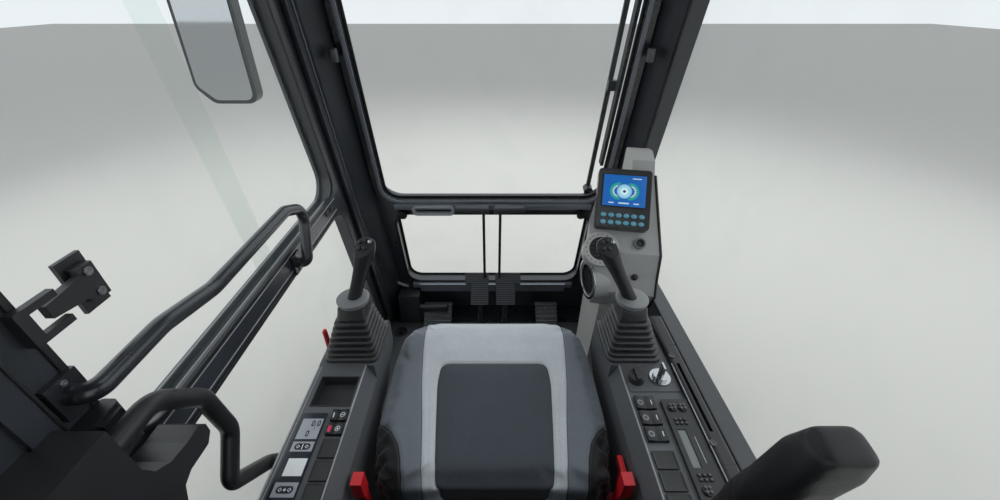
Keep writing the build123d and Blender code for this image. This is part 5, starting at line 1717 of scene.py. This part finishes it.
# %% Channel lines, screws and plugs
# the pale lines are painted highlights along the channel's edges
for name, x, z, radius, material in (("channel_line_outer", -495.4, 854.6, 1.5, edge_highlight_grey),
                                     ("channel_line_middle", -470.6, 854.6, 1.3, edge_highlight_grey),
                                     ("channel_line_inner", -463.2, 854.0, 1.8, seal_rubber),
                                     ("midrail_line_high", -460.9, 842.0, 1.2, edge_highlight_grey),
                                     ("midrail_line_low", -460.9, 806.0, 1.2, edge_highlight_grey)):
    finish_piece(bar_along(name, x, -276, 462, z, radius), "door", material, "black_paint", 40.0)
for name, x, y, z, radius, material, slot_name in (
        ("latch_screw_low", -456.2, -216, 1057.5, 5.2, steel, "chrome"),
        ("latch_screw_high", -456.2, -216, 1085.5, 5.2, steel, "chrome"),
        ("door_plug_rear", -461.0, 395, 826, 8.0, key_grey, "black_plastic"),
        ("door_plug_front", -461.0, 428, 826, 8.0, key_grey, "black_plastic"),
        ("foot_screw_high", -453.2, 175, 836, 3.6, steel, "chrome"),
        ("foot_screw_low", -453.2, 175, 800, 3.6, steel, "chrome"),
        ("foot_screw_rear", -453.2, -304, 1004, 3.6, steel, "chrome")):
    screw = stepped_ring(name, radius, ((0, 1.6), (0.9, 0.8), (radius * 0.35, -1.2)), 28)
    stand(screw, Matrix.Translation((x * MM, y * MM, z * MM)) @ Matrix.Rotation(math.pi / 2, 4, "Y"))
    finish_piece(screw, "door", material, slot_name)
print("door details done")

# %% [markdown]
# ## Pillar clips
#
# A clip at each side holds the opening window's frame to its pillar.

# %% Clips
for side, word in SIDES:
    clip = block(word + "_pillar_clip", (side * 410 - 9, 546, 1188), (side * 410 + 9, 566, 1222))
    bevel(clip, 3.5, 3)
    finish_piece(clip, "cab", key_grey, "black_plastic")
print("clips done")

# %% [markdown]
# ## Edge lines on the pillars and the column
#
# Pressed pillars have folded edges, and each fold shows as a thin line of light along the pillar. Here
# that line is a thin bar in a paler grey than the cab's paint, a painted highlight. A black sealing
# strip also follows the column's outer edge. Both are bent bars: one straight bar for each run and a
# ball at each corner, joined into one piece.

# %% Bent bars
def bent_bar(name, points, radius, material, slot_name):
    pieces = []
    for start, end in zip(points, points[1:]):
        first, last = Vector(start), Vector(end)
        way = last - first
        bar = drum("bar", (0, 0, 0), radius, way.length, 16)
        stand(bar, Matrix.Translation((first + last) / 2 * MM)
              @ way.to_track_quat("Z", "Y").to_matrix().to_4x4())
        pieces.append(bar)
    for spot in points:
        clear_selection()
        bpy.ops.mesh.primitive_uv_sphere_add(segments=16, ring_count=8, radius=radius * MM,
                                             location=Vector(spot) * MM)
        pieces.append(named("knuckle"))
    finish_piece(joined(pieces, name), "cab", material, slot_name, 40.0)


def leaning_line(x, inset, low=135, high=1585):
    return [(x, front_y(z * MM, inset * MM) / MM, z) for z in (low, high)]


# a paler copy of the cab paint for the pillar folds and the corner strip: a painted highlight along
# each
fold_highlight_grey = powder_coat("fold_highlight_grey", (0.10, 0.11, 0.13), (0.17, 0.185, 0.215), 0.26, 0.5)
for name, x, inset, radius in (("left_fold_highlight_front", -453.6, 14, 2.2),
                               ("left_fold_highlight_middle", -453.8, 46, 1.8),
                               ("left_fold_highlight_rear", -453.4, 92, 2.4),
                               ("right_fold_highlight_front", 453.6, 14, 2.2),
                               ("right_fold_highlight_rear", 453.6, 52, 2.0)):
    bent_bar(name, leaning_line(x, inset), radius, fold_highlight_grey, "cab_paint")
COLUMN_EDGE = ((300, 560), (267, 634), (283, 682), (298, 751), (448, 915))
bent_bar("column_edge_seal", [(452.4, y, z) for y, z in COLUMN_EDGE], 3.6, seal_rubber, "black_plastic")
# the corner strip's paler paint is a painted highlight
bent_bar("corner_strip", [(-443, 736, 541), (-448, 776, 357)], 5.5, fold_highlight_grey, "cab_paint")
elbow = arc_through(Vector((-443, 778, 346)), Vector((-441, 797, 262)), Vector((-379, 801, 242)), 6)
bent_bar("corner_elbow", elbow, 6.5, handle_grey, "console_grey")
print("edge lines done")

# %% [markdown]
# ## Floor, backdrop and light
#
# The object stands in a plain studio. The floor is pale, and the world is white to the camera and in
# reflections, but lights the object a little more gently. Soft lamps stand in front of the cab and at
# both sides above it, where the sky is in the photograph. They are hidden in reflections, because
# their image would turn the roof white.

# %% Studio
def studio_floor():
    bpy.ops.mesh.primitive_plane_add(size=40.0, location=(0.0, 0.0, -0.001))
    floor = bpy.context.object
    floor.name = "studio_floor"
    finish = Finish("studio_floor", Roughness=0.9, Base_Color=(0.50, 0.49, 0.47))
    floor.data.materials.append(finish.material)
    bpy.ops.object.select_all(action="DESELECT")


def area_lamp(name, place, target, size, power):
    data = bpy.data.lights.new(name, "AREA")
    data.shape = "RECTANGLE"
    data.size, data.size_y = size
    data.energy = power
    lamp = bpy.data.objects.new(name, data)
    bpy.context.scene.collection.objects.link(lamp)
    lamp.location = place
    lamp.visible_glossy = False
    lamp.rotation_euler = (Vector(target) - Vector(place)).to_track_quat("-Z", "Y").to_euler()


WORLD_WHITE = (0.93, 0.95, 1.0, 1.0)


def studio_world(strength):
    world = bpy.context.scene.world or bpy.data.worlds.new("studio")
    bpy.context.scene.world = world
    world.use_nodes = True
    tree = world.node_tree
    rays = tree.nodes.new("ShaderNodeLightPath")
    back = tree.nodes["Background"]
    back.inputs["Color"].default_value = WORLD_WHITE
    previous = rays.outputs["Is Camera Ray"]
    for word in ("Is Glossy Ray", "Is Transmission Ray"):
        seen = tree.nodes.new("ShaderNodeMath")
        seen.operation = "MAXIMUM"
        tree.links.new(previous, seen.inputs[0])
        tree.links.new(rays.outputs[word], seen.inputs[1])
        previous = seen.outputs[0]
    level = tree.nodes.new("ShaderNodeMapRange")
    level.inputs["To Min"].default_value = strength
    level.inputs["To Max"].default_value = 1.0
    tree.links.new(previous, level.inputs["Value"])
    tree.links.new(level.outputs["Result"], back.inputs["Strength"])


bpy.context.scene.view_settings.view_transform = "Standard"
studio_floor()
studio_world(0.80)
area_lamp("front_sky", (0.4, 3.2, 3.4), (0.0, 0.1, 0.5), (3.0, 2.0), 105.0)
area_lamp("left_sky", (-3.0, 0.6, 2.6), (0.0, 0.1, 0.6), (4.0, 4.0), 50.0)
area_lamp("right_sky", (3.0, 0.4, 2.6), (0.0, 0.1, 0.6), (4.0, 4.0), 45.0)
print("studio ready")

# %% Importing json
import json
